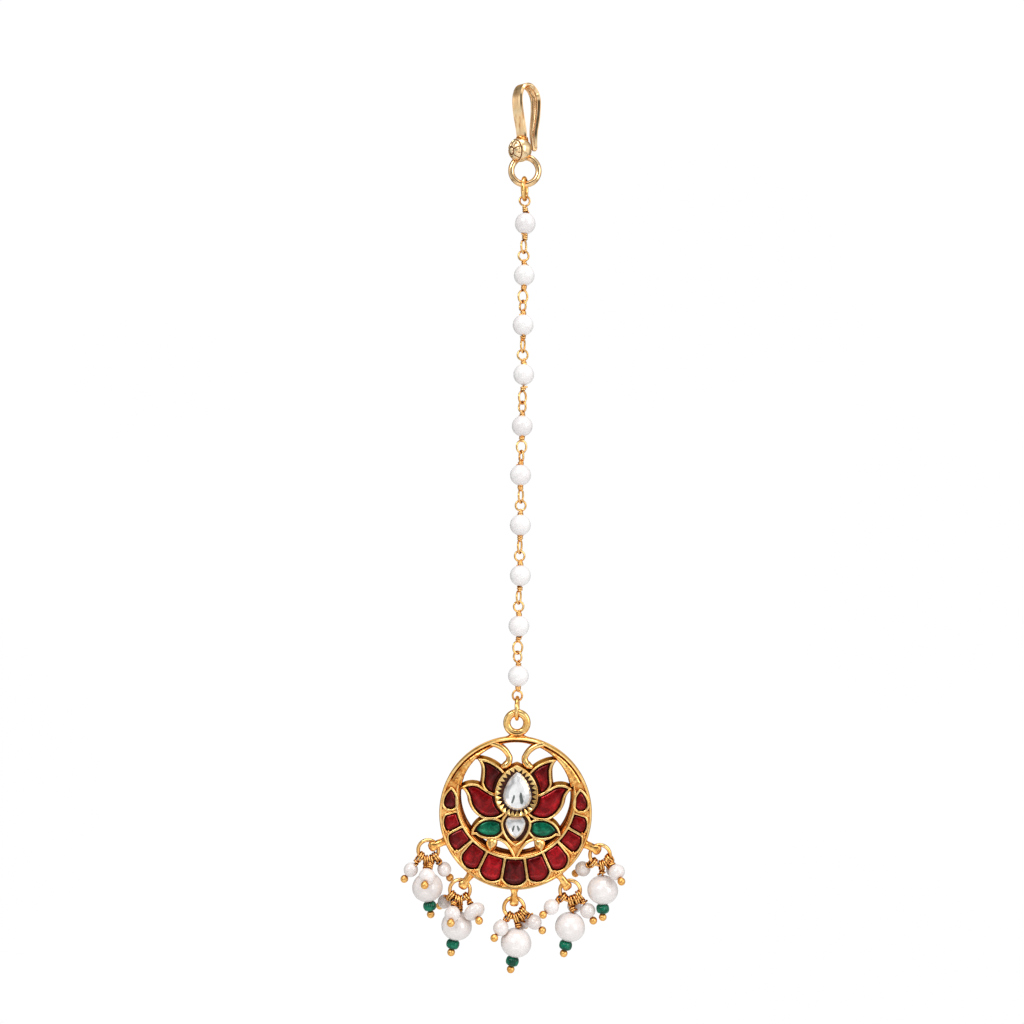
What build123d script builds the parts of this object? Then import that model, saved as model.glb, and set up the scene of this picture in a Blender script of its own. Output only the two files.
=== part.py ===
from build123d import *
import math
import os

# Maang tikka: a hair hook with a captive ring, a wire-wrapped pearl rosary chain, and a
# round openwork pendant (lotus over a stone-set crescent) with five pearl drops.
# Millimetres. +X to the viewer's right, +Y towards the forehead, +Z up.
# Origin: the highest point of the inside of the hook's bend, where the hair bears.

# ------------------------------------------------------------------ driving sizes
CHAIN_Y = -0.5            # the chain and the pendant hang in this plane

HOOK_TURN = 50.0          # the plane of the hook's bend, degrees from the front
HOOK_WIDE = 2.05          # width of the strip
HOOK_THICK = 0.7          # thickness of the strip
HOOK_TIP_WIDE = 0.74      # width of the free leg near its end
BALL_R = 2.0              # ball that ends the fixed leg
BALL_AT = (-1.02, -1.22, -10.86)
COLLAR_R = 1.0

RING_WIRE = 1.05          # ring through the ball
RING_R = 2.31             # its lower arc, to the middle of the wire
RING_AT = (-0.12, CHAIN_Y, -14.21)
RING_TOP_AT = (-1.0, CHAIN_Y, -11.1)
RING_TOP_R = 0.85

LINK_WIRE = 0.7           # link between the ring and the chain
LINK_R = 1.765
LINK_AT = (-0.12, CHAIN_Y, -17.28)
LINK_TURN = 80.0

WIRE = 0.36               # wire that each chain pearl is threaded on
EYE_TOP_R = 0.87          # upper eye, to the middle of the wire
EYE_LOW_R = 0.80          # lower eye, which is a little long
EYE_RISE = 3.30           # upper eye's centre above its pearl's
EYE_DROP = 2.50           # lower eye's top below its pearl's centre
STEM_R = 0.16             # straight wire through the pearl
WRAP_OUT = 0.56           # wraps, out to their crowns
WRAP_IN = 0.44            # and in to the valleys between them
WRAP_PITCH = 0.33
GAP = 0.06                # air between pieces that hang on each other
PEARL_R = 1.8             # chain pearls
DRILL_GAP = 0.05          # air round a wire in its drilling

LOW_LINK_WIRE = 0.65      # link that carries the pendant
LOW_LINK_R = 1.81
LOW_LINK_Z = -105.60

DISC_Z = -123.30          # centre of the pendant's round outline
DISC_R = 12.95
OPEN_UP = 2.5             # the crescent's inner edge is centred this much higher
OPEN_R = 9.5
RIDGE_R = 10.05           # fine ridge inside the crescent's inner edge
BACK_Y = 0.75             # flat back of the pendant, from CHAIN_Y
PLATE_Y = -0.55           # floor that the stones sit on
RIDGE_Y = -1.20           # top of the bezels
RIM_Y = -1.10             # top of the outer rim
HORN_Y = -1.05            # top of the plain horns
EGG_Y = -1.55             # top of the middle bezel
RIM_WIDE = 0.42
BEZEL_WIDE = 0.30
SKIRT = 0.26              # metal outside each bezel
STONE_IN = 0.40           # stone's edge, in from the bezel's middle
SEAT_GAP = 0.03
LOTUS_X = 0.12            # the flower stands this much off the disc's middle

BAIL_UP = 15.23           # bail ring's centre above the disc's
BAIL_HOLE_R = 1.06
BAIL_R = 2.34
BAIL_HALF = 0.62

LUG_WIDE = 1.15
LUG_HALF = 0.85
LUG_END = 16.0            # lug's end, from the disc's centre
LUG_HOLE_AT = 14.50
LUG_HOLE_R = 0.50

JUMP_WIRE = 0.65          # jump rings that carry the drops
JUMP_R = 1.70

PIN = 0.34                # drop wires' loops
SHANK_R = 0.15            # drop wires' shanks
LOOP_MAIN_R = 0.62
LOOP_SEED_R = 0.70
COIL_OUT = 0.48
COIL_IN = 0.38
COIL_PITCH = 0.31
DROP_PEARL = (2.64, 2.42) # half width, half height of the large pearls
BEAD_R = 1.13
BEAD_HALF = 0.74
BALL_END_R = 0.66

# ------------------------------------------------------------------ tables
# chain: pearl centre x and z, the x of the joint below, turn of the two eyes in degrees
CHAIN_COLS = ("pearl_x", "pearl_z", "below_x", "turn_top", "turn_low")
CHAIN = [
    (0.08, -23.17, -0.12, 0, 67),
    (0.05, -31.98, -0.12, 0, 30),
    (-0.01, -40.43, 0.00, -62, 75),
    (0.22, -48.84, 0.07, 0, 50),
    (0.10, -57.60, 0.04, -55, 15),
    (-0.05, -65.94, 0.06, -75, 70),
    (0.05, -74.43, 0.02, 0, 75),
    (0.18, -83.02, -0.02, 10, 72),
    (0.07, -91.61, -0.06, 12, 25),
    (0.12, -100.10, 0.00, -48, 0),
]

# crescent: dividers, degrees from straight down, at the ridge and at the rim
DIVIDER_COLS = ("at_ridge", "at_rim")
DIVIDERS = [(9.3, 12.3), (27.6, 35.2), (45.5, 56.9), (62.0, 74.2), (77.4, 90.3)]

# lotus outlines, right-hand side: corner, then a point the arc passes through, and so on
UPPER_PETAL = [
    (6.30, 9.05), (4.55, 8.62), (2.30, 6.95), None, (1.50, 5.00), None,
    (1.80, 3.40), None, (3.65, 3.13), (5.15, 3.90), (5.75, 5.15), (5.62, 6.20),
    (5.58, 7.25), (5.78, 8.20),
]
LOWER_PETAL = [
    (9.10, 4.33), (7.50, 4.80), (6.20, 4.50), (5.00, 3.72), (3.65, 3.13), None,
    (1.60, 2.60), None, (1.60, 0.60), (3.60, -0.82), (5.30, -0.84), (6.95, 0.30),
    (7.85, 2.10), (8.30, 3.45),
]
EGG = [
    (0.00, 8.28), (2.58, 6.50), (3.68, 3.10), (2.60, 0.50), (0.00, -0.50),
    (-2.60, 0.50), (-3.68, 3.10), (-2.58, 6.50),
]
EGG_STONE = [
    (0.14, 7.20), (1.72, 5.50), (2.55, 3.05), (1.90, 1.40), (0.14, 0.62),
    (-1.62, 1.40), (-2.27, 3.05), (-1.44, 5.50),
]
BUD = [
    (1.50, -0.10), (2.22, -0.95), (2.38, -2.05), (1.72, -3.80), (0.00, -5.35),
    (-1.72, -3.80), (-2.38, -2.05), (-2.22, -0.95), (-1.50, -0.10), None,
]
LEAF = [
    (7.40, -3.50), (6.45, -1.72), (4.70, -0.95), (3.40, -1.00), (2.35, -1.50), None,
    (2.15, -2.90), (2.95, -3.85), (4.40, -4.22), (5.70, -4.02), (6.70, -3.42), None,
]
END_STONE = [
    (10.75, 4.25), (12.02, 3.20), (12.30, 1.95), (11.98, 0.98), (11.05, 0.58),
    (10.12, 1.00), (9.85, 2.10), (9.98, 3.20),
]
FOOT_WEB = [
    (0.30, -7.60), (0.75, -5.85), (3.20, -4.75), None, (3.20, -3.60), None,
    (-3.20, -3.60), None, (-3.20, -4.75), (-0.75, -5.85), (-0.30, -7.60), None,
]
GOLD_BUD = [
    (3.15, -4.62), (4.10, -4.35), (4.90, -4.75), (4.95, -5.60), (4.35, -6.75), None,
    (3.95, -6.60), (3.20, -5.60),
]
SCROLL = [(4.30, 11.75), (2.10, 10.72), (1.30, 9.50), (1.45, 8.65), (2.30, 7.95)]
SCROLL_WIDE = 0.86
TIP_PADS = [(6.75, 9.55, 0.55), (9.35, 4.25, 0.45), (7.55, -3.75, 0.40)]

# drops: lug angle and the way its jump ring hangs from it (degrees from straight down),
# loop's place on the ring (degrees from its lowest point), then the large pearl's centre
# from the ring's centre and its pin's lean
DROP_COLS = ("lug_deg", "hang_deg", "loop_deg", "pearl_x", "pearl_z", "lean_deg")
DROPS = [
    (-67.0, -55.0, -12, -0.02, -6.30, 7.7),
    (-35.0, -33.0, 2, -0.45, -6.07, -10.9),
    (0.0, 0.0, 10, 0.45, -5.90, -10.6),
    (35.9, 35.5, 2, 0.08, -6.15, -12.5),
    (66.4, 44.5, 8, 0.55, -5.90, 0.9),
]
# seed pearls: drop, loop's place on the ring, centre from the ring's centre, half width,
# half height (the half height lies along the pin)
SEED_COLS = ("drop", "loop_deg", "x", "y", "z", "half_wide", "half_high")
SEEDS = [
    (1, -50, -2.90, 0.00, -3.40, 1.22, 1.24),
    (1, 20, 0.05, -2.95, -3.66, 1.42, 1.26),
    (1, 50, 2.75, 0.85, -3.45, 1.22, 1.26),
    (2, -56, -2.70, 1.90, -2.60, 1.20, 1.20),
    (2, -28, -1.12, -2.70, -3.30, 1.32, 1.30),
    (2, 44, 2.55, -1.75, -3.15, 1.92, 1.18),
    (3, -32, -2.19, -1.10, -3.16, 1.34, 1.34),
    (3, 41, 1.65, 2.50, -3.11, 1.26, 1.26),
    (3, 72, 3.50, 0.00, -2.40, 1.28, 1.28),
    (4, -50, -3.20, -1.30, -2.50, 1.34, 1.34),
    (4, 32, 0.90, 2.60, -3.35, 1.26, 1.26),
    (4, 62, 3.05, 0.00, -3.40, 1.30, 1.26),
    (5, -42, -2.80, 1.55, -2.80, 1.32, 1.32),
    (5, 40, 2.45, 2.30, -3.15, 1.26, 1.26),
    (5, 70, 2.70, -2.00, -2.35, 1.42, 1.28),
]


# ------------------------------------------------------------------ helpers
def vec(p):
    return Vector(*p)


def tube(p, q, r):
    """Round bar from p to q."""
    p, q = vec(p), vec(q)
    return Plane(origin=p, z_dir=q - p) * Cylinder(
        r, (q - p).length, align=(Align.CENTER, Align.CENTER, Align.MIN)
    )


def hoop(at, normal, major, minor):
    return Plane(origin=vec(at), z_dir=vec(normal)) * Torus(major, minor)


def ball(at, r):
    return Pos(*at) * Sphere(r)


def arc_bar(at, start, normal, major, minor, degrees):
    """Part of a hoop, from the direction start, turning by degrees about normal."""
    return Plane(origin=vec(at), x_dir=vec(start), z_dir=vec(normal)) * Torus(
        major, minor, major_angle=degrees, align=None
    )


def facing(turn):
    """Normal of a hoop that faces the viewer at 0 degrees and shows its edge at 90."""
    a = math.radians(turn)
    return (math.sin(a), -math.cos(a), 0)


def turned_wire(low, high, r, wraps, end_ball=0.0):
    """Wire along Z from low to high, turned about its axis: wraps are rows of
    (z of the lowest turn, turns, pitch, valley radius, crown radius)."""
    if end_ball:
        neck = low + end_ball + math.sqrt(end_ball ** 2 - r ** 2)
        edges = [ThreePointArc((0, low), (end_ball, low + end_ball), (r, neck))]
    else:
        neck = low
        edges = [Line((0, low), (r, low))]
    for z, turns, pitch, valley, crown in wraps:
        edges += [Line((r, neck), (r, z)), Line((r, z), (valley, z))]
        for i in range(turns):
            a = z + i * pitch
            edges.append(ThreePointArc((valley, a), (crown, a + pitch / 2), (valley, a + pitch)))
        neck = z + turns * pitch
        edges.append(Line((valley, neck), (r, neck)))
    edges += [Line((r, neck), (r, high)), Line((r, high), (0, high)), Line((0, high), (0, low))]
    return revolve(Plane.XZ * make_face(Wire(edges)), axis=Axis.Z, revolution_arc=360)


def join(first, *rest):
    solid = first
    for piece in rest:
        solid = solid + piece
    return solid


def outline(rows, dx=0.0, dz=0.0, flip=False):
    """Closed outline of arcs and straight runs in the pendant's own x and z."""
    s = -1.0 if flip else 1.0
    pts = [None if p is None else (s * (p[0]) + dx, p[1] + dz) for p in rows]
    edges = []
    for i in range(0, len(pts), 2):
        a, mid, b = pts[i], pts[i + 1], pts[(i + 2) % len(pts)]
        edges.append(Line(a, b) if mid is None else ThreePointArc(a, mid, b))
    return make_face(Wire(edges))


def grown(face, by, kind=Kind.ARC):
    return offset(face, amount=by, kind=kind)


def slab(shape, near, far):
    """A flat shape given depth, from y = near to y = far (both from CHAIN_Y)."""
    plane = Plane(origin=(0, CHAIN_Y + far, DISC_Z), x_dir=(1, 0, 0), z_dir=(0, -1, 0))
    return plane * extrude(shape, amount=far - near)


def round_body(half_wide, half_high, drill):
    """Pearl turned about its own drilling, which runs along Z."""
    angles = [math.radians(-90 + 15 * i) for i in range(1, 12)]
    side = [(half_wide * math.cos(a), half_high * math.sin(a)) for a in angles]
    arc = Spline((0, -half_high), *side, (0, half_high), tangents=((1, 0), (-1, 0)))
    face = make_face(Wire([arc, Line(arc @ 1, arc @ 0)]))
    body = revolve(Plane.XZ * face, axis=Axis.Z, revolution_arc=360)
    return body - Cylinder(drill, 4 * half_high)


def along_pin(body, at, direction):
    return Plane(origin=vec(at), z_dir=vec(direction)) * body


def save(name, shape):
    solids = shape.solids() if not isinstance(shape, list) else shape
    whole = solids[0] if len(solids) == 1 else Compound(list(solids))
    export_step(whole, "parts/" + name + ".step")
    return whole


os.makedirs("parts", exist_ok=True)


# ------------------------------------------------------------------ hook and ring
def make_ring(extra=0.0):
    """Pear-shaped ring: wide below, drawn in where it passes through the ball."""
    big, small = vec(RING_AT), vec(RING_TOP_AT)
    r = RING_WIRE / 2 + extra
    span = small - big
    dist = span.length
    lean = math.degrees(math.atan2(span.X, span.Z))
    open_half = math.degrees(math.acos((RING_R - RING_TOP_R) / dist))
    up = lambda deg: Vector(math.sin(math.radians(deg)), 0, math.cos(math.radians(deg)))
    left, right = up(lean - open_half), up(lean + open_half)
    lower = arc_bar(big, right, (0, 1, 0), RING_R, r, 360 - 2 * open_half)
    upper = arc_bar(small, left, (0, 1, 0), RING_TOP_R, r, 2 * open_half)
    sides = [
        tube(big + d * RING_R, small + d * RING_TOP_R, r) for d in (left, right)
    ]
    return join(lower, upper, *sides)


def make_hook():
    a = math.radians(HOOK_TURN)
    across = Plane(
        origin=(0, 0, 0), x_dir=(math.cos(a), math.sin(a), 0),
        z_dir=(math.sin(a), -math.cos(a), 0),
    )
    crown = HOOK_THICK / 2
    path = FilletPolyline(
        (-1.25, -9.9), (-1.0, -8.3), (-2.42, -3.2), (-2.42, crown),
        (2.50, crown), (2.50, -3.2), (1.85, -7.0), (2.45, -10.75),
        radius=(3.0, 6.0, 2.4, 2.4, 6.0, 5.0),
    )
    strip = trace(path, HOOK_THICK)
    body = extrude(strip, amount=HOOK_WIDE / 2, both=True)
    rims = [
        e for e in body.edges()
        if abs(abs(e.center().Z) - HOOK_WIDE / 2) < 1e-4 and e.length > 0.75
    ]
    try:
        body = chamfer(rims, 0.16)
    except Exception:
        pass
    half, tip = HOOK_WIDE / 2, HOOK_TIP_WIDE / 2
    # the free leg narrows to a rounded end
    shape = make_face(Polyline(
        (-half, 3), (half, 3), (half, -5.0), (tip + 0.12, -7.9), (tip, -9.2),
        (tip, -10.35), (-tip, -10.35), (-tip, -9.2), (-tip - 0.12, -7.9),
        (-half, -5.0), close=True,
    )) + Pos(0, -10.35) * Circle(tip)
    taper = Plane(origin=(0.3, 0, 0), x_dir=(0, 0, 1), z_dir=(1, 0, 0)) * extrude(
        Plane.XY * Rot(0, 0, 90) * shape, amount=4
    )
    # the plane above looks along the bend, with the leg's width across it
    front = Pos(-5 + 0.3, -5, 0) * Box(10, 30, 6)
    free = body & taper
    fixed = body & front
    strip_body = across * (free + fixed)
    collar = Pos(BALL_AT[0] + 0.28, BALL_AT[1] + 0.3, BALL_AT[2] + 1.98) * (
        Cylinder(COLLAR_R, 0.42) + Pos(0, 0, -0.28) * Cylinder(COLLAR_R * 0.9, 0.5)
    )
    whole = join(strip_body, ball(BALL_AT, BALL_R), collar)
    return whole - make_ring(0.08)


# ------------------------------------------------------------------ chain
def eye(at_top, normal, major, height, wire):
    """Eye whose outer top is at_top: a hoop, drawn out if height asks for it."""
    n = vec(normal).normalized()
    side = Vector(0, 0, 1).cross(n)
    r = wire / 2
    stretch = height - 2 * (major + r)
    high = vec(at_top) - Vector(0, 0, major + r)
    if stretch < 0.03:
        return hoop(high, normal, major, r)
    low = high - Vector(0, 0, stretch)
    upper = arc_bar(high, side, tuple(side.cross(Vector(0, 0, 1))), major, r, 180)
    lower = arc_bar(low, side, tuple(side.cross(Vector(0, 0, -1))), major, r, 180)
    return join(
        upper, lower, tube(high + side * major, low + side * major, r),
        tube(high - side * major, low - side * major, r),
    )


def top_of_eye(row):
    return row[1] + EYE_RISE + EYE_TOP_R + WIRE / 2


def make_link(index):
    pearl_x, pearl_z, below_x, turn_top, turn_low = CHAIN[index]
    above_x = LINK_AT[0] + 0.05 if index == 0 else CHAIN[index - 1][2]
    if index == 0:
        top = LINK_AT[2] - LINK_R + LINK_WIRE / 2 + GAP + WIRE
    else:
        top = top_of_eye(CHAIN[index])
    if index == len(CHAIN) - 1:
        low = LOW_LINK_Z + LOW_LINK_R - LOW_LINK_WIRE / 2 - GAP - WIRE
    else:
        low = top_of_eye(CHAIN[index + 1]) - 2 * WIRE - GAP
    high_eye = eye((above_x, CHAIN_Y, top), facing(turn_top), EYE_TOP_R,
                   2 * EYE_TOP_R + WIRE, WIRE)
    start = pearl_z - EYE_DROP + WIRE / 2
    low_eye = eye((below_x, CHAIN_Y, start), facing(turn_low), EYE_LOW_R,
                  start - low, WIRE)
    eye_foot = top - 2 * EYE_TOP_R - WIRE
    count = 4 if index == 0 else 2
    below, above = pearl_z - PEARL_R - 0.03, pearl_z + PEARL_R + 0.03
    stem = Pos(pearl_x, CHAIN_Y, 0) * turned_wire(
        start - WIRE / 2, eye_foot + WIRE / 2, STEM_R,
        [(below - 2 * WRAP_PITCH, 2, WRAP_PITCH, WRAP_IN, WRAP_OUT),
         (above, count, WRAP_PITCH, WRAP_IN, WRAP_OUT)],
    )
    return join(stem, high_eye, low_eye)


def make_chain_pearl(index):
    pearl_x, pearl_z = CHAIN[index][0], CHAIN[index][1]
    return Pos(pearl_x, CHAIN_Y, pearl_z) * (
        Sphere(PEARL_R) - Cylinder(STEM_R + DRILL_GAP, 3 * PEARL_R)
    )


# ------------------------------------------------------------------ pendant
DISC_AT = Vector(0, CHAIN_Y, DISC_Z)


def downward(deg):
    """Unit direction in the pendant's plane, in degrees from straight down."""
    a = math.radians(deg)
    return Vector(math.sin(a), 0, -math.cos(a))


def lug_hole(index):
    return DISC_AT + downward(DROPS[index][0]) * LUG_HOLE_AT


def polar(deg_from_down, r, up=0.0):
    a = math.radians(deg_from_down)
    return (r * math.sin(a), -r * math.cos(a) + up)


def cell(low, high, side):
    """Crescent cell between two dividers, given as (at_ridge, at_rim) in degrees."""
    a, b = polar(low[0], RIDGE_R, OPEN_UP), polar(high[0], RIDGE_R, OPEN_UP)
    inner = polar((low[0] + high[0]) / 2, RIDGE_R, OPEN_UP)
    shoulder = 11.25
    mix = lambda d, t: d[0] + (d[1] - d[0]) * t
    c, d = polar(mix(high, 0.62), shoulder), polar(mix(low, 0.62), shoulder)
    mid = polar((low[1] + high[1]) / 2, 12.42)
    flip = lambda p: (side * p[0], p[1])
    a, b, c, d, inner, mid = (flip(p) for p in (a, b, c, d, inner, mid))
    edges = [
        ThreePointArc(a, inner, b), Line(b, c), ThreePointArc(c, mid, d), Line(d, a)
    ]
    return make_face(Wire(edges))


def crescent_cells():
    """The stones' cells, from the left end round the bottom to the right end."""
    first = (-DIVIDERS[0][0], -DIVIDERS[0][1])
    found = [cell(first, DIVIDERS[0], 1)]
    for low, high in zip(DIVIDERS[:-1], DIVIDERS[1:]):
        found += [cell(low, high, 1), cell(low, high, -1)]
    found += [outline(END_STONE), outline(END_STONE, flip=True)]
    return found


def stone(face, near, dome=0.30):
    """A stone on its seat, with its upper edge taken down."""
    floor = PLATE_Y - SEAT_GAP
    body = slab(face, near, floor)
    front = [e for e in body.edges() if abs(e.center().Y - (CHAIN_Y + near)) < 1e-3]
    for cut in (dome, dome * 0.6, dome * 0.3):
        try:
            cutdown = chamfer(front, cut)
            if cutdown.is_valid and len(cutdown.solids()) == 1:
                return cutdown
        except Exception:
            continue
    return body


def make_pendant():
    lotus = lambda rows, flip=False: outline(rows, dx=LOTUS_X, flip=flip)
    petals = {
        "upper_right": lotus(UPPER_PETAL), "upper_left": lotus(UPPER_PETAL, True),
        "lower_right": lotus(LOWER_PETAL), "lower_left": lotus(LOWER_PETAL, True),
    }
    egg, bud = lotus(EGG), lotus(BUD)
    leaves = {"right": lotus(LEAF), "left": lotus(LEAF, True)}
    cells = crescent_cells()
    opening = Pos(0, OPEN_UP) * Circle(OPEN_R)

    # floor plate
    flat = Circle(DISC_R) - opening
    for face in list(petals.values()) + [egg, bud] + list(leaves.values()):
        flat += grown(face, SKIRT)
    flat += lotus(FOOT_WEB)
    for flip in (False, True):
        flat += lotus(GOLD_BUD, flip)
        s = -1 if flip else 1
        p = [(s * x + LOTUS_X, z) for x, z in SCROLL]
        flat += trace([ThreePointArc(p[0], p[1], p[2]), ThreePointArc(p[2], p[3], p[4])],
                      SCROLL_WIDE)
        flat += Pos(*p[4]) * Circle(SCROLL_WIDE * 0.56)
        for x, z, r in TIP_PADS:
            flat += Pos(s * x, z) * Circle(r)
    neck = make_face(Polyline((-2.2, 12.5), (2.2, 12.5), (1.45, 13.6), (-1.45, 13.6), close=True))
    flat += neck
    solid = slab(flat, PLATE_Y, BACK_Y)

    # bezels, ridges, rim and horns stand on the plate and run a little into it
    root = PLATE_Y + 0.25
    wall = lambda face: grown(face, BEZEL_WIDE / 2) - grown(face, -BEZEL_WIDE / 2)
    under_egg = grown(egg, BEZEL_WIDE / 2)
    under_bud = grown(bud, BEZEL_WIDE / 2)
    step = 5.6
    low_half = Pos(0, step - 20) * Rectangle(40, 40)
    high_half = Pos(0, step + 20) * Rectangle(40, 40)
    ridge = Pos(0, OPEN_UP) * (
        Circle(RIDGE_R + BEZEL_WIDE / 2) - Circle(RIDGE_R - BEZEL_WIDE / 2)
    )
    rows = [(ridge & low_half) & Circle(DISC_R - RIM_WIDE / 2)]
    rows += [face - grown(face, -BEZEL_WIDE * 0.55) for face in cells]
    rows += [wall(petals[name]) - under_egg for name in sorted(petals)]
    rows += [wall(leaves[name]) - under_bud for name in sorted(leaves)]
    rows.append(wall(bud) - under_egg)
    web = rows[0]
    for row in rows[1:]:
        web += row
    parts = [slab(face, RIDGE_Y, root) for face in web.faces()]
    parts.append(slab(under_egg - grown(lotus(EGG_STONE), 0.25), EGG_Y, root))
    parts.append(slab(Circle(DISC_R) - Circle(DISC_R - RIM_WIDE), RIM_Y, root))
    horn = (Circle(DISC_R - RIM_WIDE - 0.22) - Pos(0, OPEN_UP) * Circle(OPEN_R + 0.14))
    parts += [slab(face, HORN_Y, root) for face in (horn & high_half).faces()]
    solid = join(solid, *parts)

    # bail ring, turned with two beads round its edge
    bail_at = (0, CHAIN_Y, DISC_Z + BAIL_UP)
    mid_r = (BAIL_R + BAIL_HOLE_R) / 2
    washer = Plane(origin=bail_at, z_dir=(0, -1, 0)) * (
        Cylinder(BAIL_R - 0.12, 2 * BAIL_HALF * 0.72) - Cylinder(BAIL_HOLE_R + 0.1, 4)
    )
    solid = join(
        solid, washer,
        hoop(bail_at, (0, 1, 0), BAIL_R - 0.36, 0.36) ,
        hoop(bail_at, (0, 1, 0), BAIL_HOLE_R + 0.34, 0.34),
    )

    # lugs, drilled across for the jump rings
    for index, row in enumerate(DROPS):
        out = downward(row[0])
        side = Vector(-out.Z, 0, out.X)
        foot = DISC_R - 0.4
        lug = Plane(origin=DISC_AT + out * ((foot + LUG_END) / 2), x_dir=side, z_dir=out) * Box(
            LUG_WIDE, 2 * LUG_HALF, LUG_END - foot
        )
        end_edges = [
            e for e in lug.edges() if abs((e.center() - DISC_AT).dot(out) - LUG_END) < 1e-3
        ]
        lug = fillet(end_edges, 0.3)
        hang = downward(row[1])
        lug -= Plane(origin=lug_hole(index), z_dir=(-hang.Z, 0, hang.X)) * Cylinder(LUG_HOLE_R, 4)
        solid = solid + lug
    save("pendant_frame", solid)

    # stones
    set_in = lambda face: grown(face, -STONE_IN)
    rubies = [stone(set_in(face), -1.15, 0.28) for face in cells]
    save("crescent_rubies", [s for r in rubies for s in r.solids()])
    keep_off = grown(egg, STONE_IN)
    for name, face in petals.items():
        shape = set_in(face) - keep_off
        biggest = max(shape.faces(), key=lambda f: f.area)
        save("petal_ruby_" + name, stone(Sketch() + biggest, -1.15, 0.25))
    for name, face in leaves.items():
        shape = set_in(face) - grown(bud, STONE_IN)
        biggest = max(shape.faces(), key=lambda f: f.area)
        save("leaf_emerald_" + name, stone(Sketch() + biggest, -1.15, 0.25))
    save("kundan_drop", stone(lotus(EGG_STONE), -1.95, 0.55))
    bud_stone = grown(bud, -STONE_IN) - keep_off
    save("kundan_bud", stone(Sketch() + max(bud_stone.faces(), key=lambda f: f.area), -1.35, 0.35))
    return solid


# ------------------------------------------------------------------ drops
def jump_centre(index):
    return lug_hole(index) + downward(DROPS[index][1]) * JUMP_R


def on_ring(index, deg, sag=0.05):
    return jump_centre(index) + downward(deg) * (JUMP_R + sag)


def loop_normal(deg, direction):
    """A loop's plane holds its pin and crosses the ring's wire as squarely as it can."""
    a = math.radians(deg)
    wire = Vector(math.cos(a), 0, math.sin(a))
    d = direction.normalized()
    return (wire - d * wire.dot(d)).normalized()


def make_drop(index):
    lug_deg, hang_deg, loop_deg, pearl_x, pearl_z, lean = DROPS[index]
    centre = jump_centre(index)
    name = str(index + 1)
    save("jump_ring_" + name, hoop(centre, (0, 1, 0), JUMP_R, JUMP_WIRE / 2))

    down = downward(lean)
    pearl_at = centre + Vector(pearl_x, 0, pearl_z)
    wide, high = DROP_PEARL
    loop_at = on_ring(index, loop_deg)
    neck_at = pearl_at - down * (high + 0.05)
    first = (neck_at - loop_at).normalized()
    bead_at = pearl_at + down * (high + 0.04 + BEAD_HALF)
    end_at = bead_at + down * (BEAD_HALF + 0.04 + BALL_END_R)
    reach = (neck_at - loop_at).length
    turns = max(1, int((reach - LOOP_MAIN_R - PIN / 2 - 0.05) / COIL_PITCH))
    upper = turned_wire(-0.02, reach - LOOP_MAIN_R, SHANK_R,
                        [(0.05, turns, COIL_PITCH, COIL_IN, COIL_OUT)])
    lower = turned_wire(-(end_at - neck_at).length - BALL_END_R, 0.02, SHANK_R, [], BALL_END_R)
    pins = [join(
        hoop(loop_at, loop_normal(loop_deg, first), LOOP_MAIN_R, PIN / 2),
        along_pin(upper, neck_at, first * -1), along_pin(lower, neck_at, down * -1),
        ball(neck_at, SHANK_R + 0.03),
    )]
    seeds = []
    for drop, deg, x, y, z, half_wide, half_high in SEEDS:
        if drop != index + 1:
            continue
        seed_at = centre + Vector(x, y, z)
        hang = on_ring(index, deg)
        along = (seed_at - hang).normalized()
        reach = (seed_at - hang).length
        turns = max(1, int((reach - half_high - 0.05 - LOOP_SEED_R - PIN / 2) / COIL_PITCH))
        shank = turned_wire(-half_high - 0.04 - 2 * BALL_END_R, reach - LOOP_SEED_R, SHANK_R,
                            [(half_high + 0.05, turns, COIL_PITCH, COIL_IN, COIL_OUT)],
                            BALL_END_R)
        pins.append(join(
            hoop(hang, loop_normal(deg, along), LOOP_SEED_R, PIN / 2),
            along_pin(shank, seed_at, along * -1),
        ))
        seeds.append(along_pin(round_body(half_wide, half_high, SHANK_R + DRILL_GAP), seed_at,
                               along))
    save("drop_pins_" + name, [s for p in pins for s in p.solids()])
    save("seed_pearls_" + name, [s for p in seeds for s in p.solids()])
    save("drop_pearl_" + name, along_pin(round_body(wide, high, SHANK_R + DRILL_GAP), pearl_at, down))
    bead = Cylinder(BEAD_R, 2 * BEAD_HALF)
    bead = fillet(bead.edges(), 0.38) - Cylinder(SHANK_R + DRILL_GAP, 4)
    save("green_bead_" + name, along_pin(bead, bead_at, down))


# ------------------------------------------------------------------ build
save("hook", make_hook())
save("hook_ring", make_ring())
save("top_link", hoop(LINK_AT, facing(LINK_TURN), LINK_R, LINK_WIRE / 2))
for i in range(len(CHAIN)):
    save("link_wire_%02d" % (i + 1), make_link(i))
    save("chain_pearl_%02d" % (i + 1), make_chain_pearl(i))
save("bottom_link", hoop((0, CHAIN_Y, LOW_LINK_Z), facing(86.0), LOW_LINK_R, LOW_LINK_WIRE / 2))
make_pendant()
for i in range(len(DROPS)):
    make_drop(i)
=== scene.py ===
import math

import bmesh
import bpy
import numpy as np
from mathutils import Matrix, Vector
from mathutils.geometry import delaunay_2d_cdt


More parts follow.
